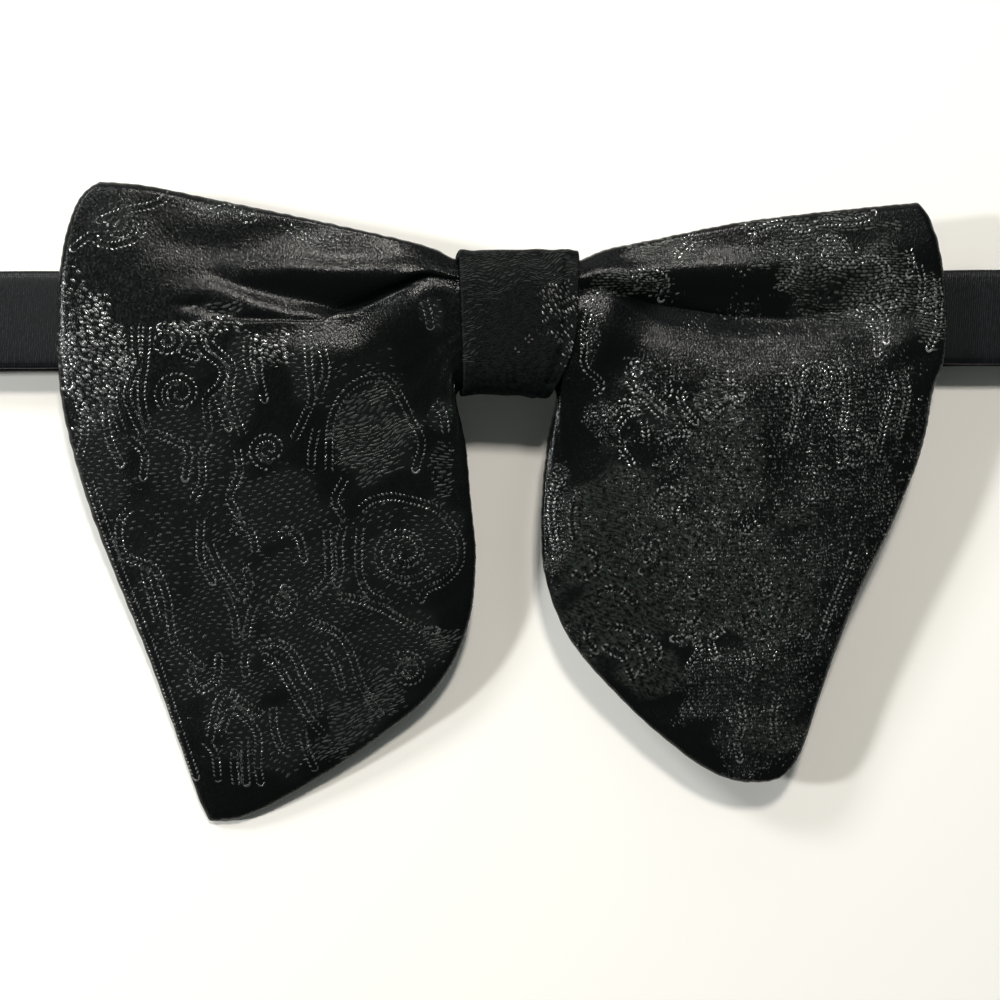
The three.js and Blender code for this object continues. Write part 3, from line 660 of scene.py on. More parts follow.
bpy.ops.object.mode_set(mode="OBJECT")
print("strap:", len(strap.data.vertices), "points, x",
      round(strap_x.min(), 1), "to", round(strap_x.max(), 1))

# %% [markdown]
# ## The woven figure
# The brocade is one black thread twice: a satin ground, and raised floats that draw a scroll and
# paisley figure on it. Its outlines are double rows of dots. The figure is charted here as curves
# in millimetres on the blade's plan: spirals, and lines through a few points. Each point of a mesh
# then keeps two numbers, how far it is from the nearest curve and how far along that curve it lies,
# and the material sets its dots by them, so that they follow every scroll.

# %% Chart the figure
# middle x, middle y, inner radius, outer radius, turns, start angle in degrees
SPIRALS = {
    "left_wing": [(-66.5, -3.5, 0.5, 3.0, 1.3, 0), (-64, -13.3, 0.9, 4.2, 1.4, 90),
                  (-21.2, -43.8, 0.9, 6.4, 1.6, 120),
                  (-20.4, -67, 0.7, 3.8, 1.2, 60), (-75.5, 18.6, 0.6, 2.6, 1.1, 20),
                  (-47, -24, 0.8, 3.6, 1.2, 200),
                  (-45, -53.5, 0.7, 3.2, 1.1, 40)],
    "right_wing": [(23.4, -8.6, 0.4, 1.9, 0.9, 300), (26.5, 7.4, 0.9, 2.9, 0.8, 250),
                   (73.5, 6.6, 0.8, 4.4, 1.3, 90),
                   (81.5, 5.5, 0.6, 2.8, 1.1, 0), (59, -10, 0.8, 5.2, 1.4, 200),
                   (66, -24, 0.8, 4.2, 1.3, 30),
                   (30, -33.5, 0.9, 4.0, 0.9, 330), (47, -57, 0.8, 4.2, 1.2, 0),
                   (62, 14, 0.8, 4.0, 1.2, 60)],
    "knot": [],
}
# each row is one line of the figure, through its points
LINES = {
    "left_wing": [
        [(-65.5, 24.9), (-67.5, 23.2), (-70, 22.2), (-73, 21.7), (-76, 20.7), (-79, 19.5)],
        [(-71, 19.3), (-71, 17.6), (-72.3, 16), (-75, 15), (-77, 14.7), (-79.4, 15.4), (-80, 16.8)],
        [(-80.6, 16.8), (-82.5, 15.4), (-84, 14.2)],
        [(-62.5, 22.5), (-59, 21), (-55.5, 22), (-54, 21.7), (-51.5, 19.8), (-49.5, 20.2)],
        [(-44.7, 19.3), (-41.3, 17), (-38.4, 15.6), (-36.4, 15.4), (-34, 16.8)],
        [(-72.3, -0.6), (-72, -5.5), (-71.4, -7.4), (-72.8, -10.3), (-73.8, -13.7), (-72.8, -17),
         (-71, -21)],
        [(-70, -0.6), (-70.4, -7.9), (-71, -11.3), (-71, -15), (-70, -19.6)],
        [(-74.9, -2), (-74.6, -7.5), (-76.2, -12), (-76.3, -16), (-74.8, -20.5)],
        [(-62.6, -0.6), (-62, -3.5), (-63.3, -5.5), (-60.7, -6.5)],
        [(-60.7, -0.6), (-59.7, -5), (-55.8, -8.4), (-56.3, -11.8), (-58.7, -14.2), (-58.7, -17.6),
         (-58.3, -20.5)],
        [(-57.3, -1.6), (-58, -4), (-54, -7.9), (-54, -10.3), (-54.4, -14.2), (-52.4, -20), (-51.9, -21.5)],
        [(-56.5, -14.2), (-55.6, -17), (-54.6, -20)],
        [(-51, -2.6), (-51, -7.4), (-49.5, -12.8)],
        [(-48.9, -3), (-48.9, -9.4), (-47.8, -14.7)],
        [(-39.8, 0.3), (-39.6, -4.5), (-39.3, -9.4), (-38.8, -14.2), (-40.3, -18), (-42.2, -22)],
        [(-37.4, -3.5), (-36.3, -7.4), (-36.3, -10.3), (-37.6, -13.6)],
        [(-38, -20), (-38.8, -24), (-39, -27.3)],
        [(-35.6, -28), (-35, -18), (-31, -11.8), (-25, -10.4), (-21.8, -14.2), (-20, -18), (-17.8, -22.5),
         (-19, -27.8)],
        [(-78.2, -16.6), (-77.2, -22.5), (-75.2, -26.8)],
        [(-73.3, -22), (-70.6, -25), (-71, -29.5)],
        [(-68.4, -21), (-64.6, -22.5), (-62.2, -24.4), (-63, -29.5)],
        [(-58.3, -22.5), (-59.7, -25), (-59.7, -30), (-61.5, -33.5)],
        [(-83.5, -13.7), (-82, -20), (-83.2, -25.4)],
        [(-53, -24), (-52.6, -28.5), (-54.6, -33), (-53, -36.5)],
        [(-32.5, -29.5), (-34.5, -33.6), (-33, -36.6)],
        [(-73.8, -35.5), (-75.8, -38.4), (-75.3, -43.8), (-73.3, -45.2), (-70, -46.2)],
        [(-60, -37.5), (-60.2, -44.3), (-58.8, -47.7), (-57.8, -49.6)],
        [(-69.5, -46.2), (-68, -48.6), (-66.6, -53), (-66.2, -57), (-65.2, -61.5), (-61.7, -64.6),
         (-60.2, -66)],
        [(-71, -47.5), (-69.6, -53), (-68.6, -57)],
        [(-58.3, -42.3), (-56.4, -46.7), (-54.4, -49.6), (-52.6, -52.6), (-50.8, -50), (-51.5, -47.2)],
        [(-55.3, -52), (-53.8, -56.4), (-53.4, -60.8)],
        [(-50, -54), (-51, -57), (-51.6, -60.2)],
        [(-54, -40), (-52.5, -38.4), (-50.4, -40), (-49.6, -43.8)],
        [(-45.2, -40.5), (-43.2, -39.4), (-41.3, -41), (-40.3, -45.2)],
        [(-36, -39.4), (-35.7, -44.3), (-35.7, -48.6), (-37.2, -50.6), (-39.4, -53)],
        [(-32.8, -38.4), (-33.6, -42.3), (-33.4, -46.7), (-34, -50)],
        [(-29.7, -35.5), (-27.7, -33.9), (-25.3, -33.2), (-22.4, -33.1), (-16.6, -34.6), (-13.6, -36.5),
         (-10.9, -40),
         (-10.1, -42.8), (-10.4, -46.2), (-13.2, -49.4), (-16.6, -51), (-18, -53.4)],
        [(-29.6, -39), (-29.9, -44), (-29.6, -48.4), (-27.6, -52), (-23.8, -53.6)],
        [(-33.6, -52.2), (-29.7, -53), (-25.3, -54.8), (-22, -56.6), (-18, -58.8), (-14.5, -59)],
        [(-39.4, -57), (-35.5, -58.6), (-33, -60.4), (-31, -64.2), (-29.7, -68.5), (-27.7, -72.4),
         (-25.3, -75.8)],
        [(-36.5, -61.5), (-34.3, -65.5), (-33, -70)],
        [(-49.6, -62), (-46.2, -61.2), (-43.7, -62.2), (-41.8, -64.6), (-40.3, -68.5), (-38, -71),
         (-37.4, -75)],
        [(-48, -64), (-45.6, -65.6), (-43.6, -68.8), (-41.6, -72.4), (-39.4, -76), (-36.6, -79.4)],
        [(-40.6, -79), (-40, -82.4), (-38.4, -86)],
        [(-62.2, -66.6), (-61.7, -69.5), (-59.8, -70.5), (-57.3, -68.5), (-56.8, -63.7)],
        [(-51.7, -63.2), (-51.9, -65.6), (-51.5, -67.8)],
        [(-58.6, -80), (-57.8, -75.8), (-56.8, -72.4), (-55.2, -70.8), (-53.6, -72), (-51.4, -73.6),
         (-48.6, -75.4)],
        [(-56.2, -79), (-55.6, -76.4), (-54.2, -74.4), (-52, -76), (-50.3, -77.6), (-49.2, -80.4),
         (-49.4, -85.5),
         (-48.8, -89)],
        [(-51.9, -80.6), (-51.9, -85), (-51.6, -89)],
        [(-53.9, -83), (-54, -86), (-53.6, -89.4)],
        [(-59.8, -80.6), (-57.8, -83), (-57.2, -88)],
        [(-46.4, -74), (-46.2, -78), (-45.2, -81.4), (-43.3, -83.2)],
        [(-17.6, 4.4), (-16.9, 2.2), (-16.4, -0.4)],
        [(-15.6, -15), (-13.8, -17), (-13.2, -20.5)],
        [(-85.3, 2), (-85.4, -6), (-84.9, -12)],
        [(-81.4, -30), (-78.9, -38), (-75.9, -47), (-72.6, -55.5), (-69.4, -64), (-66.6, -72.5),
         (-64.2, -80), (-61.5, -88)],
    ],
    "right_wing": [
        [(15.6, 6.8), (14.2, 4.5), (13.9, 2), (13.4, 0.3), (13, -2.4), (13.2, -4.8), (13, -7), (13.8, -8.7),
         (15.7, -10.2), (16.6, -11.3), (16.2, -12.6), (14.8, -13.2)],
        [(21.7, -10.3), (22.8, -12), (23.5, -13.2), (25.2, -14.4), (27.2, -16.6), (29, -18)],
        [(24.4, -11.6), (25.9, -13.4), (27.4, -14.9), (28.6, -16)],
        [(17, -18), (18.5, -16.8), (20, -15.3), (21.5, -14.8), (23, -15.4)],
        [(19.4, -20.5), (20.6, -18.4), (22.2, -17), (24, -16.7)],
        [(20.8, -22), (20.8, -24), (22, -25.4), (22.8, -27.2)],
        [(24.8, -18.4), (25.2, -20.4), (25.4, -22.4)],
        [(27.6, -22.4), (29.4, -21.4), (31.4, -20.8), (33.6, -20.9)],
        [(32.6, -12.2), (31.7, -13.4), (32.4, -15.6), (33.6, -17.2), (35, -18.8)],
        [(29.2, -10.6), (29.6, -12.8), (28.4, -14.4)],
        [(35.9, -14.6), (36.5, -16.5), (37.4, -17.8)],
        [(36.5, -23.5), (37.6, -25.2), (38.2, -27.6)],
        [(8.7, -29), (7.5, -32), (7.1, -36), (7.6, -40.5), (8.6, -45)],
        [(11.8, -33), (11, -37), (11.6, -41)],
        [(37.8, -17.5), (39.2, -16.1), (41.2, -14.9), (43.8, -13.7)],
        [(44, 19.6), (46, 18.3), (49, 19.5), (52, 20.2), (56, 19), (60, 20.4), (65, 20.6), (68.5, 21.2),
         (70.6, 22.6)],
        [(33, 17.6), (33.7, 16), (32, 14.6), (31, 13)],
        [(22, 9.7), (25.6, 10.2), (28.4, 9.4), (29.3, 7.4), (28.6, 5.4)],
        [(65.3, 3.4), (68, 2.8), (70, 1.3), (71, -1), (71, -5.2)],
        [(66, 5.2), (69.4, 5), (71.6, 3.6), (73, 1.4), (72.9, -2.6)],
        [(73.3, -8.6), (74.3, -12), (73.6, -15), (72.6, -18), (71.8, -21), (71, -25)],
        [(76.6, -9.6), (77.2, -13), (76.2, -17), (75.4, -21)],
        [(77.4, 15.6), (78, 13), (77.6, 10.5)],
        [(79.6, 12.4), (80.4, 9), (80, 5)],
        [(83.3, 10), (83.9, 5), (83.4, 0), (81.6, -4)],
        [(52, 14.6), (54.5, 12.6), (54, 9.6), (51.6, 7.4)],
        [(66, 12), (69.4, 13.6), (72.4, 12.4), (73.4, 9.6)],
        [(41.6, -8.4), (41.6, -11), (41.2, -14)],
        [(53, -8.6), (54.6, -13), (54.2, -18), (53, -23)],
        [(62.6, -6), (64.6, -10), (64.4, -16), (63.2, -22), (63.6, -27)],
        [(12.8, -43), (15.6, -44.4), (16, -47), (13.4, -48.6), (11.2, -47.4)],
        [(24, -40.6), (27.6, -42.6), (27.4, -46), (24.6, -47.4)],
        [(34, -40), (37.4, -42.6), (38.6, -46.6), (37.4, -50.4), (34.4, -52.4)],
        [(18, -58), (22.4, -58.8), (23.4, -61.4), (20.6, -63.6), (17.6, -62)],
        [(23.8, -60), (27, -60.8), (28.2, -63.8), (25.4, -66)],
        [(47.4, -38), (44.4, -41), (45, -45), (48.6, -48), (47.4, -52)],
        [(56.6, -51), (53.4, -54), (54.2, -58), (57.4, -60)],
        [(45.3, -62.6), (46, -66), (45.4, -69)],
        [(44.2, -73), (45, -77), (43.8, -81), (44.6, -84.5)],
        [(51.6, -72), (51, -77), (51.8, -82)],
        [(36.6, -55), (34.6, -58.6), (36, -62.4), (34, -66)],
        [(66.6, -44), (64.4, -49.6), (62, -55.4), (60.2, -61)],
        [(19.5, -62.5), (21.5, -64.5), (22.6, -67), (23.6, -69)],
        [(24.4, -60.6), (24.9, -63), (25.6, -65.4), (24.6, -67.4)],
        [(14.8, -57.5), (14.2, -60.4), (16, -63)],
        [(26.6, -40.4), (25.4, -42.6), (25.6, -45.2), (27.2, -46.6), (28, -45.2), (27.8, -42.6),
         (26.8, -40.6)],
        [(33.2, -38.6), (35.6, -38), (36.4, -40.6), (34.6, -42.4), (32.8, -41)],
        [(30.6, -57), (33.2, -57.4), (33, -60.2), (30.8, -60.6)],
        [(32.4, -30.6), (32.6, -33), (31, -35.4), (31.2, -38.4)],
        [(16, -51.4), (19.6, -50.6), (22.6, -52.4), (24, -55)],
        [(28.6, -50.6), (31.6, -49.6), (34, -51.4)],
        [(40, -28.4), (43.4, -29.6), (44.6, -33)],
        [(40.4, -33.6), (38.6, -36.4), (40.4, -39.4), (43.4, -40)],
        [(43.6, -19.4), (40.8, -21.4), (41, -24.6), (43.8, -26)],
        [(47, -52.4), (50.6, -51.6), (53, -53.6), (52.4, -56.6)],
        [(41, -58.6), (38.4, -60.6), (39, -64)],
    ],
    "knot": [
        [(11.7, 9.4), (10.4, 8), (8.4, 6.8), (6.4, 5.4), (5.4, 3.8)],
        [(4.4, -1.4), (2.2, -3), (-0.3, -5.4)],
        [(5.4, -1.6), (7.6, -2.2), (9.8, -3.6), (9.6, -6), (8.6, -8.2), (7.4, -9.8)],
    ],
}
CURVE_STEP, SPIRAL_SQUASH, NO_DOTS_GAP = 0.35, 0.92, 9

def spiral_points(x, y, inner, outer, turns, start):
    share = np.linspace(0, 1, 200)
    angle = math.radians(start) + 2 * np.pi * turns * share
    radius = inner + (outer - inner) * share
    return np.stack([x + radius * np.cos(angle), y + SPIRAL_SQUASH * radius * np.sin(angle)], axis=1)

def line_points(line):
    line = np.array(line, float)
    places = np.arange(len(line), dtype=float)
    at = np.linspace(0, len(line) - 1, 40 * (len(line) - 1) + 1)
    return np.stack([smooth(places[:, None], line[:, axis][:, None], at) for axis in (0, 1)], axis=1)

def evenly(points):
    """The same curve with points at even distances, and how far along it each one lies."""
    run = np.concatenate([[0], np.cumsum(np.hypot(*np.diff(points, axis=0).T))])
    at = np.linspace(0, run[-1], max(2, round(run[-1] / CURVE_STEP)))
    return np.stack([np.interp(at, run, points[:, axis]) for axis in (0, 1)], axis=1), at

def figure_curves(node):
    return ([evenly(spiral_points(*row)) for row in SPIRALS[node]]
            + [evenly(line_points(line)) for line in LINES[node]])

def figure_values(node, plan):
    """Distance to the nearest curve, and the run along it, for each point of the plan."""
    curves = figure_curves(node)
    starts = np.concatenate([points[:-1] for points, run in curves])
    ends = np.concatenate([points[1:] for points, run in curves])
    runs = np.concatenate([run[:-1] for points, run in curves])
    tree = KDTree(len(starts))
    for i, (start, end) in enumerate(zip(starts, ends)):
        tree.insert((*((start + end) / 2), 0), i)
    tree.balance()
    nearest = np.array([tree.find((x, y, 0))[1] for x, y in plan])
    start, step = starts[nearest], (ends - starts)[nearest]
    length = np.hypot(*step.T)
    t = np.clip(((plan - start) * step).sum(axis=1) / length ** 2, 0, 1)
    gap = np.hypot(*(plan - start - t[:, None] * step).T)
    return gap, runs[nearest] + t * length

# %% [markdown]
# The grounds between the outlines differ. Some are plain satin, some have short floats in rows like
# bricks, some have bold floats, or small glinting ones close together, and some are woven grey side
# up, with dark pits and plain petals. Low on the right wing, one oval of grey ground is painted
# sheen. Five lists of soft-edged ovals say where each kind lies.

# %% Kinds of ground
# middle x, middle y, half width, half height, and for a thin ground the share in the middle
GROUNDS = {
    "float_share": {
        "left_wing": [(-56, -54, 10, 13), (-42, -53, 12, 13), (-37, -66, 12, 10), (-22, -62, 9, 9),
                      (-47, -80, 9, 8),
                      (-79, -27, 6, 12), (-27, -20, 8, 10), (-63, -62, 6, 9), (-46, -36, 9, 9),
                      (-63, -24, 8, 9),
                      (-55, -72, 7, 8), (-16, -41, 7, 7), (-77, 20, 5, 4), (-38, 17.5, 7, 3),
                      (-14, -17.5, 2.6, 3.4),
                      (-55, 22, 6, 2), (-25, -45, 4, 6), (-30, -76, 8, 6), (-16, 2, 2.4, 3),
                      (-41, -8, 3, 6),
                      (-53, -12, 4, 9), (-60, -46, 18, 34, 0.6), (-34, -58, 20, 26, 0.6),
                      (-30, -14, 10, 9, 0.5)],
        "right_wing": [(27, -17, 5, 3.5)],
        "knot": [(-6, 10, 9, 5, 0.9), (-9, 2, 3, 11, 0.55), (3, 11, 10, 4, 0.7)],
    },
    "bold_share": {
        "left_wing": [(-31.3, -77, 5.6, 4.6), (-25, -72, 5, 4.4), (-36, -82.4, 4.2, 3),
                      (-13.5, -60.4, 4, 2.4),
                      (-55.5, 3.0, 4.5, 1.0), (-28, -21, 7.5, 8.5), (-13.6, -27, 2.4, 6)],
        "right_wing": [(58, 13, 11, 7), (72, 8, 9, 9, 0.9), (66.5, 2.6, 9, 2.4), (51, 20.3, 10, 2),
                       (66, 20.6, 8, 2),
                       (22, 8.2, 8, 3), (29, 14.5, 7, 3), (82, 2, 3.4, 8), (40, -13, 5, 8, 0.5)],
        "knot": [],
    },
    "speck_share": {
        "left_wing": [(-80.5, -7, 7, 12, 0.9), (-45.5, -4.5, 4, 3.4), (-84, 6, 3, 4, 0.6),
                      (-58, -0.5, 8, 1.6)],
        "right_wing": [(51, -13, 12, 10), (34, -8, 13, 4.5, 0.7), (54, -7, 17, 6, 0.6), (66, -14, 9, 12),
                       (61, -31.5, 7, 5), (61, -46, 5.5, 4), (43, -70, 12, 9),
                       (55, -64, 5, 11), (16.5, -18, 4, 3.6), (14.5, 1, 2.4, 7), (8, -37, 3, 12),
                       (56, 15.5, 13, 3.6),
                       (33, 15.5, 4, 3), (70, -30, 5, 9), (75, -16, 3, 9), (54, -33, 34, 38, 0.6),
                       (48, -76, 10, 14, 0.7)],
        "knot": [(8.2, 4.4, 4.0, 3.2), (8.6, 1.0, 4.4, 7, 0.4)],
    },
    "weft_and_sheen_share": {
        "left_wing": [],
        # the right wing's last oval, at (47, -72), lays grey ground on the lower right as painted sheen
        "right_wing": [(41, -26, 7.5, 14), (22, -42, 15, 16), (36, -48, 17, 13), (51, -50, 10, 6),
                       (55.5, -37, 5, 2.2),
                       (20, -57, 13, 10), (27, -67, 8, 5), (50, -80, 7, 4), (50, -56, 9, 7),
                       (66, 8, 16, 10, 0.35), (58, -44, 16, 24, 0.3), (47, -72, 12, 15, 0.45)],
        "knot": [],
    },
    "smooth_share": {
        "left_wing": [],
        "right_wing": [(13.2, -46.8, 2.6, 2.4), (26.8, -43.4, 1.4, 3), (19, -60.6, 2.8, 2.4),
                       (22.3, -64.8, 1.8, 2.8),
                       (26, -63.2, 1.6, 2.6), (34.6, -40.2, 1.8, 2), (32, -58.8, 1.6, 1.6),
                       (20, -67.6, 3.4, 2.2),
                       (30, -33, 2.2, 2.8), (42, -23, 2, 2.4), (41, -37.4, 2, 2), (50.6, -54, 2.4, 2.2),
                       (46.6, -31, 3, 1.8), (25.6, 8, 2.6, 1.6), (36, -22.5, 3, 1.6), (60, 9, 3, 1.6)],
        "knot": [],
    },
}

def ground_share(kind, node, plan):
    """1 inside the ovals of one kind of ground, 0 outside, with a soft and wavy border."""
    x, y = plan.T
    wave = 0.14 * np.sin(x * 0.5 + 2 * np.sin(y * 0.21))
    wave += 0.12 * np.sin(y * 0.83 - x * 0.4 + np.sin(x * 0.3))
    share = np.zeros(len(plan))
    for middle_x, middle_y, half_width, half_height, *most in GROUNDS[kind][node]:
        reach = np.hypot((x - middle_x) / half_width, (y - middle_y) / half_height) + wave
        share = np.maximum(share, (most or [1])[0] * (1 - smoothstep(0.62, 1.25, reach)))
    return share

# %% [markdown]
# The rows of floats and the grain of the satin keep to the threads, so they need a measure of the
# cloth itself. That is the UV map, in millimetres: across the plan, and down the real surface, over
# its folds.

# %% Measure the cloth
def lay_uv(piece, along_cloth, down_cloth, around=None):
    """Writes the UV map in millimetres; around is the full round of a closed band."""
    loops = np.empty(len(piece.data.loops), dtype=np.int32)
    piece.data.loops.foreach_get("vertex_index", loops)
    down = down_cloth[loops]
    if around:
        faces = down.reshape(-1, 4)
        wraps = np.ptp(faces, axis=1) > around / 2
        faces[wraps] += np.where(faces[wraps] < around / 2, around, 0)
        down = faces.ravel()
    layer = piece.data.uv_layers.active or piece.data.uv_layers.new()
    layer.name = "cloth"
    layer.data.foreach_set("uv", np.stack([along_cloth[loops], down], axis=1).ravel())

def cloth_measure(wing, u, v):
    """Length down the surface from the top edge, read between the points of a fine grid."""
    grid_u, grid_v = np.meshgrid(np.linspace(0, 1, 81), np.linspace(0, 1, 241), indexing="ij")
    middle = blade_middle(wing, grid_u.ravel(), grid_v.ravel()).reshape(81, 241, 3)
    steps = np.linalg.norm(np.diff(middle, axis=1), axis=2)
    run = middle[:, :1, 1] - np.concatenate([np.zeros((81, 1)), np.cumsum(steps, axis=1)], axis=1)
    at_u, at_v = np.clip(u, 0, 1) * 80, np.clip(v, 0, 1) * 240
    i, j = np.minimum(at_u.astype(int), 79), np.minimum(at_v.astype(int), 239)
    a, b = at_u - i, at_v - j
    return ((1 - a) * (1 - b) * run[i, j] + a * (1 - b) * run[i + 1, j]
            + (1 - a) * b * run[i, j + 1] + a * b * run[i + 1, j + 1])

def finish_figure(piece, node, shown=1):
    """Stores the figure's values on the piece; where shown is 0 the figure is left out."""
    plan = read_points(piece)[:, :2] / MM
    gap, run = figure_values(node, plan)
    write_values(piece, "figure_gap", gap + NO_DOTS_GAP * (1 - shown))
    write_values(piece, "figure_run", run)
    for kind in GROUNDS:
        write_values(piece, kind, ground_share(kind, node, plan) * shown)
    print(node, "figure:", len(figure_curves(node)), "curves")

for node, wing in WINGS.items():
    blade = blades[node]
    down = cloth_measure(wing, read_values(blade, "outward"), read_values(blade, "downward"))
    lay_uv(blade, read_points(blade)[:, 0] / MM, down)
    finish_figure(blade, node)
round_share = np.arctan2(read_values(knot, "round_sin"), read_values(knot, "round_cos")) / (2 * np.pi) % 1
lay_uv(knot, read_points(knot)[:, 0] / MM, round_share * knot_round, around=knot_round)
knot_face = smoothstep(KNOT_MIDDLE_Z + 3, KNOT_MIDDLE_Z + 5, read_points(knot)[:, 2] / MM)
finish_figure(knot, "knot", shown=knot_face)
lay_uv(strap, read_values(strap, "strap_along"), read_values(strap, "strap_across"))

# %% [markdown]
# ## Materials
# A material is a net of small nodes. A few helpers keep its making short: they add a node with its
# settings, a step of arithmetic, a noise or a bump. Their inputs are numbers, or the outputs of others.

# %% Helpers for node nets
class Net:
    """Adds nodes to one node tree and joins them."""

    def __init__(self, tree):
        self.tree = tree

    def join(self, socket, value):
        if isinstance(value, bpy.types.NodeSocket):
            self.tree.links.new(value, socket)
        else:
            socket.default_value = value

    def node(self, kind, inputs=None, **settings):
        made = self.tree.nodes.new("ShaderNode" + kind)
        for setting, value in settings.items():
            setattr(made, setting, value)
        for name, value in (inputs or {}).items():
            self.join(made.inputs[name], value)
        return made

    def group(self, group, inputs):
        """Places a node group and returns its outputs."""
        return self.node("Group", inputs, node_tree=group).outputs

    def math(self, operation, *values):
        return self.node("Math", dict(enumerate(values)), operation=operation).outputs[0]

    def times(self, first, second):
        return self.math("MULTIPLY", first, second)

    def times_plus(self, first, second, added):
        return self.math("MULTIPLY_ADD", first, second, added)

    def over(self, first, second):
        return self.math("DIVIDE", first, second)

    def minus(self, first, second):
        return self.math("SUBTRACT", first, second)

    def largest(self, first, *others):
        for other in others:
            first = self.math("MAXIMUM", first, other)
        return first

    def from_middle(self, value):
        """How far a value is past the middle of its whole step, from -0.5 to 0.5."""
        return self.minus(self.math("FRACT", value), 0.5)

    def dome(self, squares):
        """Height of a low dome where the squared share of its reach is `squares`."""
        return self.largest(self.minus(1, squares), 0)

    def fade(self, value, low, high, to_low=0.0, to_high=1.0):
        """Goes smoothly from to_low to to_high as the value goes from low to high."""
        ends = {"Value": value, "From Min": low, "From Max": high, "To Min": to_low, "To Max": to_high}
        return self.node("MapRange", ends, interpolation_type="SMOOTHSTEP").outputs[0]

    def shows(self, share, chance, spread_of_chance, least):
        """1 where the ground's share is above the number that a place drew, and 0 elsewhere."""
        threshold = self.times_plus(chance, spread_of_chance, least)
        return self.fade(self.minus(share, threshold), -0.03, 0.03)

    def colour(self, share, first, second):
        """Mixes two colours, each a socket or three numbers."""
        mix = self.node("Mix", data_type="RGBA")
        for name, value in (("Factor_Float", share), ("A_Color", first), ("B_Color", second)):
            socket = next(one for one in mix.inputs if one.identifier == name)
            self.join(socket, value if isinstance(value, (float, bpy.types.NodeSocket)) else (*value, 1))
        return next(one for one in mix.outputs if one.identifier == "Result_Color")

    def vector(self, x, y):
        return self.node("CombineXYZ", {0: x, 1: y}).outputs[0]

    def split(self, vector):
        return self.node("SeparateXYZ", {0: vector}).outputs

    def turned(self, vector, angle):
        """The coordinates turned about Z, so that a pattern set in them turns the other way."""
        inputs = {"Vector": vector, "Angle": angle}
        return self.node("VectorRotate", inputs, rotation_type="Z_AXIS").outputs[0]

    def attribute(self, name):
        return self.node("Attribute", attribute_name=name).outputs["Fac"]

    def noise(self, vector, scale, detail=1.0, roughness=0.5, dimensions="2D"):
        inputs = {"Vector": vector, "Scale": scale, "Detail": detail, "Roughness": roughness}
        return self.node("TexNoise", inputs, noise_dimensions=dimensions).outputs["Fac"]

    def random(self, number):
        """One random number for each number that comes in."""
        return self.node("TexWhiteNoise", {"W": number}, noise_dimensions="1D").outputs["Value"]

    def bump(self, shader, height):
        """Tilts the light as a height in millimetres would."""
        bump = self.node("Bump", {"Height": height, "Distance": MM, "Strength": 1.0})
        self.join(shader.inputs["Normal"], bump.outputs[0])

def new_group(name, inputs, outputs):
    """A node group; returns it, its net and its two ends. An input with no first value is a vector."""
    group = bpy.data.node_groups.new(name, "ShaderNodeTree")
    for socket, value in inputs.items():
        kind = "NodeSocketVector" if value is None else "NodeSocketFloat"
        made = group.interface.new_socket(name=socket, in_out="INPUT", socket_type=kind)
        if value is not None:
            made.default_value = value
    for socket in outputs:
        group.interface.new_socket(name=socket, in_out="OUTPUT", socket_type="NodeSocketFloat")
    given = group.nodes.new("NodeGroupInput").outputs
    return group, Net(group), given, group.nodes.new("NodeGroupOutput").inputs

# %% [markdown]
# ### Dots of the outlines
# Each dot is a low dome where the weft comes up. One row runs on each side of a curve, so a dot's
# middle lies at a set gap from the curve, and at a step of the run along it. The dots lean, like
# the turns of a cord, and a random number makes some of them smaller and duller.

# %% Group: outline dots
DOT_LEAN, DOT_SMALLEST, DOT_SPREAD = 0.55, 0.75, 0.4

outline_dots, net, given, result = new_group(
    "outline_dots", {"Gap": 0, "Run": 0, "Row": 0.7, "Step": 0.9, "Radius": 0.27},
    ("Dome", "Mask", "Shine"))
steps_run = net.over(given["Run"], given["Step"])
across_row = net.minus(given["Gap"], given["Row"])
leaning = net.times_plus(across_row, DOT_LEAN, net.times(net.from_middle(steps_run), given["Step"]))
shine = net.random(net.math("FLOOR", steps_run))
squared = net.math("ADD", net.times(leaning, leaning), net.times(across_row, across_row))
radius = net.times(given["Radius"], net.times_plus(shine, DOT_SPREAD, DOT_SMALLEST))
reach = net.over(net.math("SQRT", squared), radius)
net.join(result["Dome"], net.dome(net.times(reach, reach)))
net.join(result["Mask"], net.fade(reach, 1.0, 0.6))
net.join(result["Shine"], shine)
print(outline_dots.name, "group:", len(outline_dots.nodes), "nodes")

# %% [markdown]
# ### Rows of floats
# A ground's floats lie in rows, each row moved half a step from the last, like bricks. Every float
# is a long low dome. Some are missed, shorter or duller, because random numbers go with each place,
# and a float shows only where the ground's share is above its number. The rows sway a little.

# %% Group: float rows
SWAY_SCALE, LOOSE_START = 0.11, 0.3
FLOAT_SHORTEST_HALF, FLOAT_LENGTH_SPREAD, FLOAT_BLUNTNESS = 0.32, 0.26, 2.4

float_rows, net, given, result = new_group(
    "float_rows",
    {"Cloth": None, "Share": 0, "Turn": 0, "Step": 2.1, "Row": 1.2, "Length": 1.5, "Width": 0.5,
     "Sway": 3.0},
    ("Dome", "Mask", "Shine"))
turned = net.turned(given["Cloth"], given["Turn"])
split = net.split(turned)
sway = net.noise(turned, SWAY_SCALE)
down = net.over(net.times_plus(sway, given["Sway"], split[1]), given["Row"])
row = net.math("FLOOR", down)
shift = net.times_plus(net.random(row), LOOSE_START, net.times(net.math("PINGPONG", row, 1.0), 0.5))
along_row = net.math("ADD", net.over(split[0], given["Step"]), shift)
brick = net.vector(net.math("FLOOR", along_row), row)
random = net.node("TexWhiteNoise", {"Vector": brick}, noise_dimensions="2D").outputs
chance, shine = random["Value"], net.split(random["Color"])[1]
half_length = net.times(given["Length"], net.times_plus(shine, FLOAT_LENGTH_SPREAD, FLOAT_SHORTEST_HALF))
share_x = net.over(net.times(net.from_middle(along_row), given["Step"]), half_length)
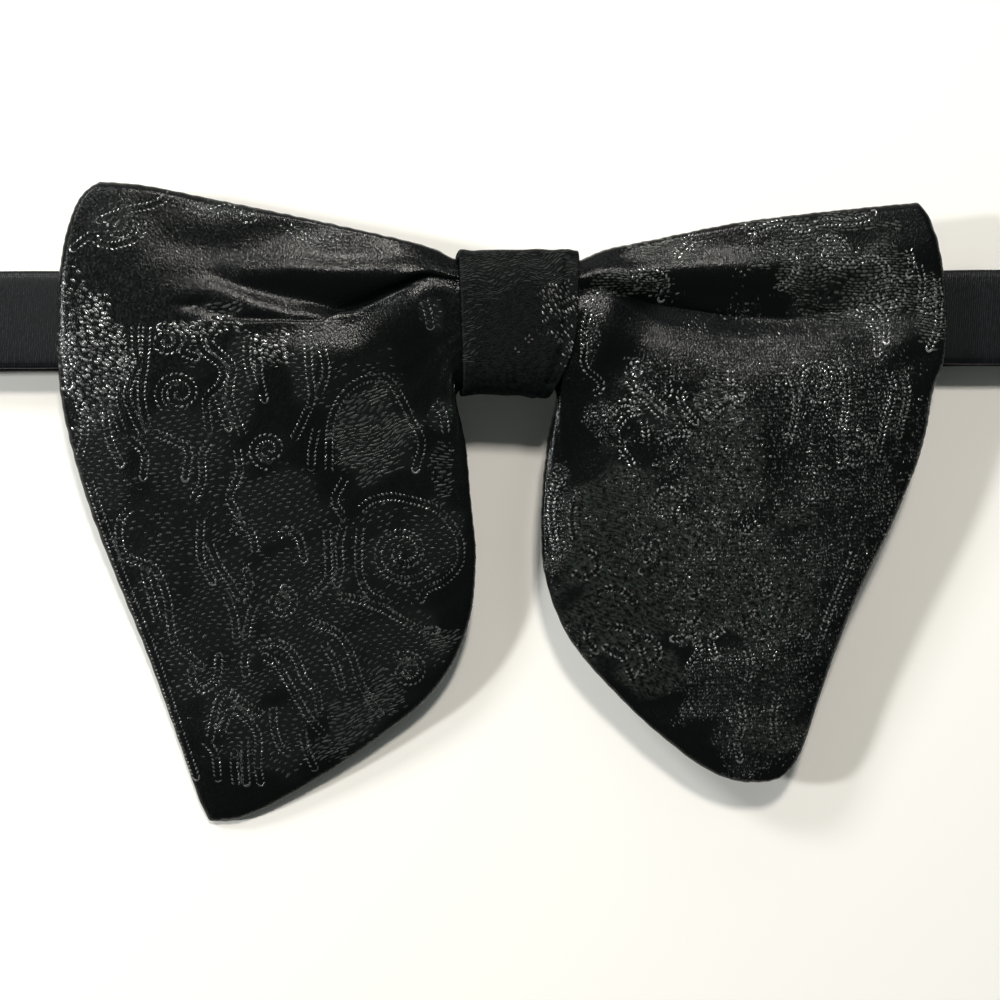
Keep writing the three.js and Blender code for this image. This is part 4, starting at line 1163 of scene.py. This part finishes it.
share_y = net.over(net.times(net.from_middle(down), given["Row"]), net.times(given["Width"], 0.5))
blunt_end = net.math("POWER", net.math("ABSOLUTE", share_x), FLOAT_BLUNTNESS)
squares = net.times_plus(share_y, share_y, blunt_end)
shows = net.shows(given["Share"], chance, 0.7, 0.12)
net.join(result["Dome"], net.times(shows, net.dome(squares)))
net.join(result["Mask"], net.times(shows, net.fade(squares, 1.1, 0.3)))
net.join(result["Shine"], shine)
print(float_rows.name, "group:", len(float_rows.nodes), "nodes")

# %% [markdown]
# ### Scattered specks
# Where the figure is dense, the weft comes up in short specks that keep no clear rows. Cells of
# uneven size give one speck each, longer one way than the other, and a random number sets its shine.

# %% Group: scattered specks
SPECK_SWAY_SCALE, CELL_UNEVENNESS = 0.35, 0.85

scattered_specks, net, given, result = new_group(
    "scattered_specks",
    {"Cloth": None, "Share": 0, "Turn": 0, "Step": 0.9, "Row": 0.7, "Reach": 0.4, "Sway": 0},
    ("Dome", "Mask", "Shine"))
split = net.split(net.turned(given["Cloth"], given["Turn"]))
swaying = net.times_plus(net.noise(given["Cloth"], SPECK_SWAY_SCALE), given["Sway"], split[0])
cells = net.vector(net.over(swaying, given["Step"]), net.over(split[1], given["Row"]))
cell_inputs = {"Vector": cells, "Scale": 1.0, "Randomness": CELL_UNEVENNESS}
found = net.node("TexVoronoi", cell_inputs, voronoi_dimensions="2D").outputs
random = net.split(found["Color"])
reach = net.over(found["Distance"], given["Reach"])
shows = net.shows(given["Share"], random[0], 0.8, 0.08)
net.join(result["Dome"], net.times(shows, net.dome(net.times(reach, reach))))
net.join(result["Mask"], net.times(shows, net.fade(reach, 1.05, 0.55)))
net.join(result["Shine"], random[1])
print(scattered_specks.name, "group:", len(scattered_specks.nodes), "nodes")

# %% [markdown]
# ### Grain of the satin
# Satin isn't a mirror: its threads lie side by side, and each lump of a thread tilts the light a
# little. That is why the folds' bright bands look grainy. The grain is a fine height, longer down
# the cloth than across it, and a spark for each short length of thread, which makes it duller.

# %% Group: satin grain
satin_grain, net, given, result = new_group(
    "satin_grain", {"Cloth": None, "Thread": 0.3, "Stretch": 1.7}, ("Height", "Spark"))
split = net.split(given["Cloth"])
thread_length = net.times(given["Thread"], given["Stretch"])
threads = net.vector(net.over(split[0], given["Thread"]), net.over(split[1], thread_length))
net.join(result["Height"], net.noise(threads, 1.0, roughness=0.6))
cell = net.node("TexVoronoi", {"Vector": threads, "Scale": 1.0}, voronoi_dimensions="2D").outputs["Color"]
net.join(result["Spark"], net.split(cell)[0])
print(satin_grain.name, "group:", len(satin_grain.nodes), "nodes")

# %% [markdown]
# ### The brocade
# Dots, floats, pits and grain come together in one function, because the left wing, the right wing
# and the knot are the same cloth with other values. The left wing shows clear outlines and brick
# rows on black satin. Much of the right one, and all of the knot, is woven grey side up: there the
# black threads are only pits, in slanting rows and along the outlines, and few dots still show.
# Low on the right wing, grey ground is laid as painted sheen, and the right wing's bold floats are
# painted lighter than the left's, as painted sheen.
# The threads that come up are shiny, so dots, specks and glints are partly metallic. The knot is
# duller than the wings, and cut edges are the dullest.

# %% Brocade
BLACK_GROUND = (0.0018, 0.0023, 0.0022)
# the grey side's ground colour; the oval low on the right wing uses it as painted sheen
GREY_GROUND = (0.0128, 0.0152, 0.0134)
WOVEN_GROUND = (0.0054, 0.0066, 0.006)
GREY_FLOAT = (0.028, 0.032, 0.03)
OUTLINE_DOT = (0.25, 0.255, 0.25)
GLINTING_SPECK = (0.38, 0.385, 0.38)
NO_THREAD = (0.0, 0.0, 0.0)
ALL_SEEN = (1.0, 1.0, 1.0)
THREAD_SHINE = 0.82
RAISED_MM, PIT_MM, GRAIN_MM = 0.062, 0.025, 0.06
OUTLINE_PITS = {"Row": 0.1, "Step": 0.78, "Radius": 0.4}
MOTTLE_SCALE, MOTTLE_STRENGTH = 0.9, 1.7
PIT_DARKNESS, DOTS_ON_GREY = 0.85, 0.3
SPARK_ROUGHNESS, EDGE_ROUGHNESS = 0.14, 0.95

def make_brocade(name, patterns, grey=GREY_GROUND, pit_mm=PIT_MM, outline_dot=OUTLINE_DOT,
                 bold_float_and_sheen=GREY_FLOAT, glint_share=0.15, speck_power=2.5, rough=0.16, specular=0.2,
                 woven=None):
    """One cloth. `patterns` has a row of values for each pattern, and one left out has no ground to
    show on. `woven` 1 is grey side up all over; without it the weft_and_sheen_share of each place says."""
    material, shader = new_material(name)
    net = Net(material.node_tree)
    cloth = net.node("UVMap", uv_map="cloth").outputs[0]
    # the grey side share: weave that lies grey side up, and low on the right wing painted sheen
    weft_and_sheen = woven or net.attribute("weft_and_sheen_share")
    grey_side_and_sheen = net.fade(weft_and_sheen, 0.1, 0.9)
    rough_weft_and_sheen = net.times(weft_and_sheen, net.minus(1.0, net.attribute("smooth_share")))
    figure = {"Gap": net.attribute("figure_gap"), "Run": net.attribute("figure_run")}
    outline = net.group(outline_dots, {**patterns["dots"], **figure})
    outline_pit = net.times(net.group(outline_dots, {**OUTLINE_PITS, **figure})["Mask"], grey_side_and_sheen)
    placed = {}
    for pattern, group, share in (("floats", float_rows, net.attribute("float_share")),
                                  ("bold", float_rows, net.attribute("bold_share")),
                                  ("pits", float_rows, rough_weft_and_sheen),
                                  ("specks", scattered_specks, net.attribute("speck_share")),
                                  ("glints", scattered_specks, net.times(rough_weft_and_sheen, glint_share))):
        values = {"Cloth": cloth, "Share": share, **patterns.get(pattern, {})}
        placed[pattern] = net.group(group, values)
    grain = net.group(satin_grain, {"Cloth": cloth})

    def thread(colour, mask, shine, bright, power=1.0):
        """Lays a thread over the colour below it; a higher power leaves fewer of them bright."""
        share = net.times_plus(net.math("POWER", shine, power), 0.75, 0.25 / power)
        return net.colour(mask, colour, net.colour(share, NO_THREAD, bright))

    mottle = net.noise(cloth, MOTTLE_SCALE, detail=3.0, roughness=0.7)
    brightest_grey = tuple(MOTTLE_STRENGTH * part for part in grey)
    mottled = net.colour(net.fade(mottle, 0.25, 0.75), NO_THREAD, brightest_grey)
    black_side = net.colour(net.attribute("float_share"), BLACK_GROUND, WOVEN_GROUND)
    ground = net.colour(grey_side_and_sheen, black_side, mottled)
    hollow = net.largest(net.times(placed["pits"]["Mask"], PIT_DARKNESS), outline_pit)
    colour = net.colour(hollow, ground, BLACK_GROUND)
    seen = net.colour(grey_side_and_sheen, ALL_SEEN, net.times(net.fade(outline["Shine"], 0.5, 0.7), DOTS_ON_GREY))
    dots_seen = net.times(outline["Mask"], seen)
    # the bold floats' colour is grey thread, and on the right wing partly painted sheen
    for mask, shine, bright, power in (
            (placed["floats"]["Mask"], placed["floats"]["Shine"], GREY_FLOAT, 1.0),
            (placed["bold"]["Mask"], placed["bold"]["Shine"], bold_float_and_sheen, 1.0),
            (dots_seen, outline["Shine"], outline_dot, 1.0),
            (placed["specks"]["Mask"], placed["specks"]["Shine"], GLINTING_SPECK, speck_power),
            (placed["glints"]["Mask"], placed["glints"]["Shine"], GLINTING_SPECK, speck_power)):
        colour = thread(colour, mask, shine, bright, power)
    net.join(shader.inputs["Base Color"], colour)

    roughness = net.largest(net.times_plus(grain["Spark"], SPARK_ROUGHNESS, rough),
                            net.times(net.attribute("edge_share"), EDGE_ROUGHNESS))
    net.join(shader.inputs["Roughness"], roughness)
    points = net.largest(dots_seen, placed["specks"]["Mask"], placed["glints"]["Mask"])
    net.join(shader.inputs["Metallic"], net.times(points, THREAD_SHINE))
    raised = net.largest(net.times(outline["Dome"], seen),
                         *(placed[pattern]["Dome"] for pattern in ("floats", "bold", "specks", "glints")))
    height = net.times_plus(raised, RAISED_MM, net.times(grain["Height"], GRAIN_MM))
    net.bump(shader, net.times_plus(placed["pits"]["Dome"], -pit_mm, height))
    shader.inputs["Specular IOR Level"].default_value = specular
    print(name, "material:", len(net.tree.nodes), "nodes")
    return material

left_brocade = make_brocade("left_brocade", {
    "dots": {"Row": 0.66, "Step": 0.8, "Radius": 0.235},
    "floats": {"Turn": -0.2, "Step": 1.8, "Row": 0.98, "Length": 1.05, "Width": 0.4, "Sway": 4.0},
    "bold": {"Turn": -0.3, "Step": 2.2, "Row": 0.74, "Length": 2.0, "Width": 0.46, "Sway": 4.0},
    "specks": {"Turn": 0.5, "Step": 1.3, "Row": 0.74, "Reach": 0.42},
}, bold_float_and_sheen=(0.04, 0.044, 0.042))
# The right wing's bold floats are grey thread, painted lighter than the left's as painted sheen.
right_brocade = make_brocade("right_brocade", {
    "dots": {"Row": 0.55, "Step": 0.82, "Radius": 0.25},
    "floats": {"Turn": -0.2, "Step": 1.8, "Row": 1.1, "Length": 1.2, "Width": 0.45},
    "bold": {"Turn": 0.0, "Step": 1.3, "Row": 0.62, "Length": 1.25, "Width": 0.46},
    "specks": {"Turn": -0.1, "Step": 0.42, "Row": 0.75, "Reach": 0.35, "Sway": 2.4},
    "pits": {"Turn": 0.25, "Step": 1.5, "Row": 0.86, "Length": 1.3, "Width": 0.46, "Sway": 4.0},
    "glints": {"Turn": 0.3, "Step": 0.75, "Row": 0.75, "Reach": 0.25},
}, bold_float_and_sheen=(0.055, 0.06, 0.053), outline_dot=(0.5, 0.505, 0.5), speck_power=4.0)
knot_brocade = make_brocade("knot_brocade", {
    "dots": {"Row": 0.45, "Step": 0.9, "Radius": 0.22},
    "floats": {"Turn": 0.25, "Step": 1.7, "Row": 0.42, "Length": 1.6, "Width": 0.26, "Sway": 5.0},
    "specks": {"Turn": -1.0, "Step": 1.25, "Row": 0.55, "Reach": 0.33},
    "pits": {"Turn": 0.05, "Step": 1.5, "Row": 0.46, "Length": 1.5, "Width": 0.3, "Sway": 4.0},
}, grey=(0.0024, 0.0038, 0.0034), pit_mm=0.012, glint_share=0.0, rough=0.4, specular=0.055, woven=1.0)

# %% [markdown]
# ### The ribbon and the slide
# The ribbon is a plain satin with a steep, fine twill line, a little bluer than the brocade. The
# slide is stamped metal with black lacquer, worn thin in fine scratches.

# %% Ribbon and lacquer
RIBBON_DARK, RIBBON_LIGHT = (0.0022, 0.0026, 0.0031), (0.0075, 0.0088, 0.0108)
TWILL_TURN, TWILL_STRETCH, TWILL_SCALE = math.radians(14), 0.3, 0.73
SELVEDGE_FROM, SELVEDGE_TO = 1.1, 0.7
LACQUER, WORN_LACQUER = (0.012, 0.012, 0.012), (0.05, 0.048, 0.045)
SCRATCH_SCALE, MOTTLE_OF_LACQUER = (300, 2600, 600), 420.0

def make_ribbon():
    material, shader = new_material("strap_ribbon")
    net = Net(material.node_tree)
    cloth = net.node("UVMap", uv_map="cloth").outputs[0]
    turning = {"Vector": cloth, "Rotation": (0, 0, TWILL_TURN), "Scale": (1, TWILL_STRETCH, 1)}
    twill = net.node("Mapping", turning).outputs[0]
    broken = net.noise(twill, 2.2, detail=2.0, roughness=0.6)
    wave = {"Vector": twill, "Scale": TWILL_SCALE, "Distortion": 1.2, "Detail": 1.0}
    line = net.node("TexWave", wave, wave_type="BANDS", bands_direction="X").outputs["Fac"]
    threads = net.times(line, net.fade(broken, 0.3, 0.65))
    net.join(shader.inputs["Base Color"], net.colour(threads, RIBBON_DARK, RIBBON_LIGHT))
    net.join(shader.inputs["Roughness"], net.fade(threads, 0, 1, 0.4, 0.33))
    across = net.math("ABSOLUTE", net.split(cloth)[1])
    selvedge = net.fade(across, STRAP_WIDTH / 2 - SELVEDGE_FROM, STRAP_WIDTH / 2 - SELVEDGE_TO)
    net.bump(shader, net.times_plus(selvedge, -0.05, net.times(threads, 0.025)))
    shader.inputs["Specular IOR Level"].default_value = 0.22
    return material

def make_lacquer():
    material, shader = new_material("black_lacquer")
    net = Net(material.node_tree)
    place = net.node("TexCoord").outputs["Object"]
    scratch_place = net.node("Mapping", {"Vector": place, "Scale": SCRATCH_SCALE}).outputs[0]
    scratches = net.fade(net.noise(scratch_place, 1.0, detail=3.0, dimensions="3D"), 0.62, 0.72)
    mottle = net.noise(place, MOTTLE_OF_LACQUER, detail=3.0, dimensions="3D")
    net.join(shader.inputs["Base Color"], net.colour(scratches, LACQUER, WORN_LACQUER))
    worn = net.fade(scratches, 0, 1, 0.24, 0.42)
    net.join(shader.inputs["Roughness"], net.times_plus(mottle, 0.18, worn))
    net.bump(shader, net.times_plus(scratches, -0.01, net.times(mottle, 0.02)))
    shader.inputs["Coat Weight"].default_value = 0.6
    return material

strap_ribbon, black_lacquer = make_ribbon(), make_lacquer()
print("plain materials:", strap_ribbon.name, "and", black_lacquer.name)

# %% [markdown]
# ## Every piece in its place
# Each cloth piece stands for its solid, rides on the one body, and gets its material.
# The slide keeps its solid, whose shape is right, and only gets its lacquer.

# %% Ride and replace
# piece, node, material, slot, flat size of the cut in metres, its flat area, how it is held
CLOTHS = [
    (blades["left_wing"], "left_wing", left_brocade, "brocade", (0.13, 0.1), 0.0085, "gathered"),
    (blades["right_wing"], "right_wing", right_brocade, "brocade", (0.13, 0.1), 0.0076, "gathered"),
    (knot, "knot", knot_brocade, "brocade", (0.082, 0.022), None, "folded"),
    (strap, "neck_strap", strap_ribbon, "strap_satin", (0.5, 0.019), None, "folded"),
]
for piece, node, material, slot, flat_size, area, held in CLOTHS:
    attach(piece, "root")
    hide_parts(node)
    select_only(piece)
    bpy.ops.object.shade_smooth()
    piece.data.materials.append(material)
    surface = sum(face.area for face in piece.data.polygons) / 2 / MM ** 2
    print(piece.name, "cloth:", round(surface), "square mm,", 2 * len(piece.data.polygons), "triangles")
clasp = nodes["clasp"]
for material_slot in clasp.material_slots:
    material_slot.material = black_lacquer
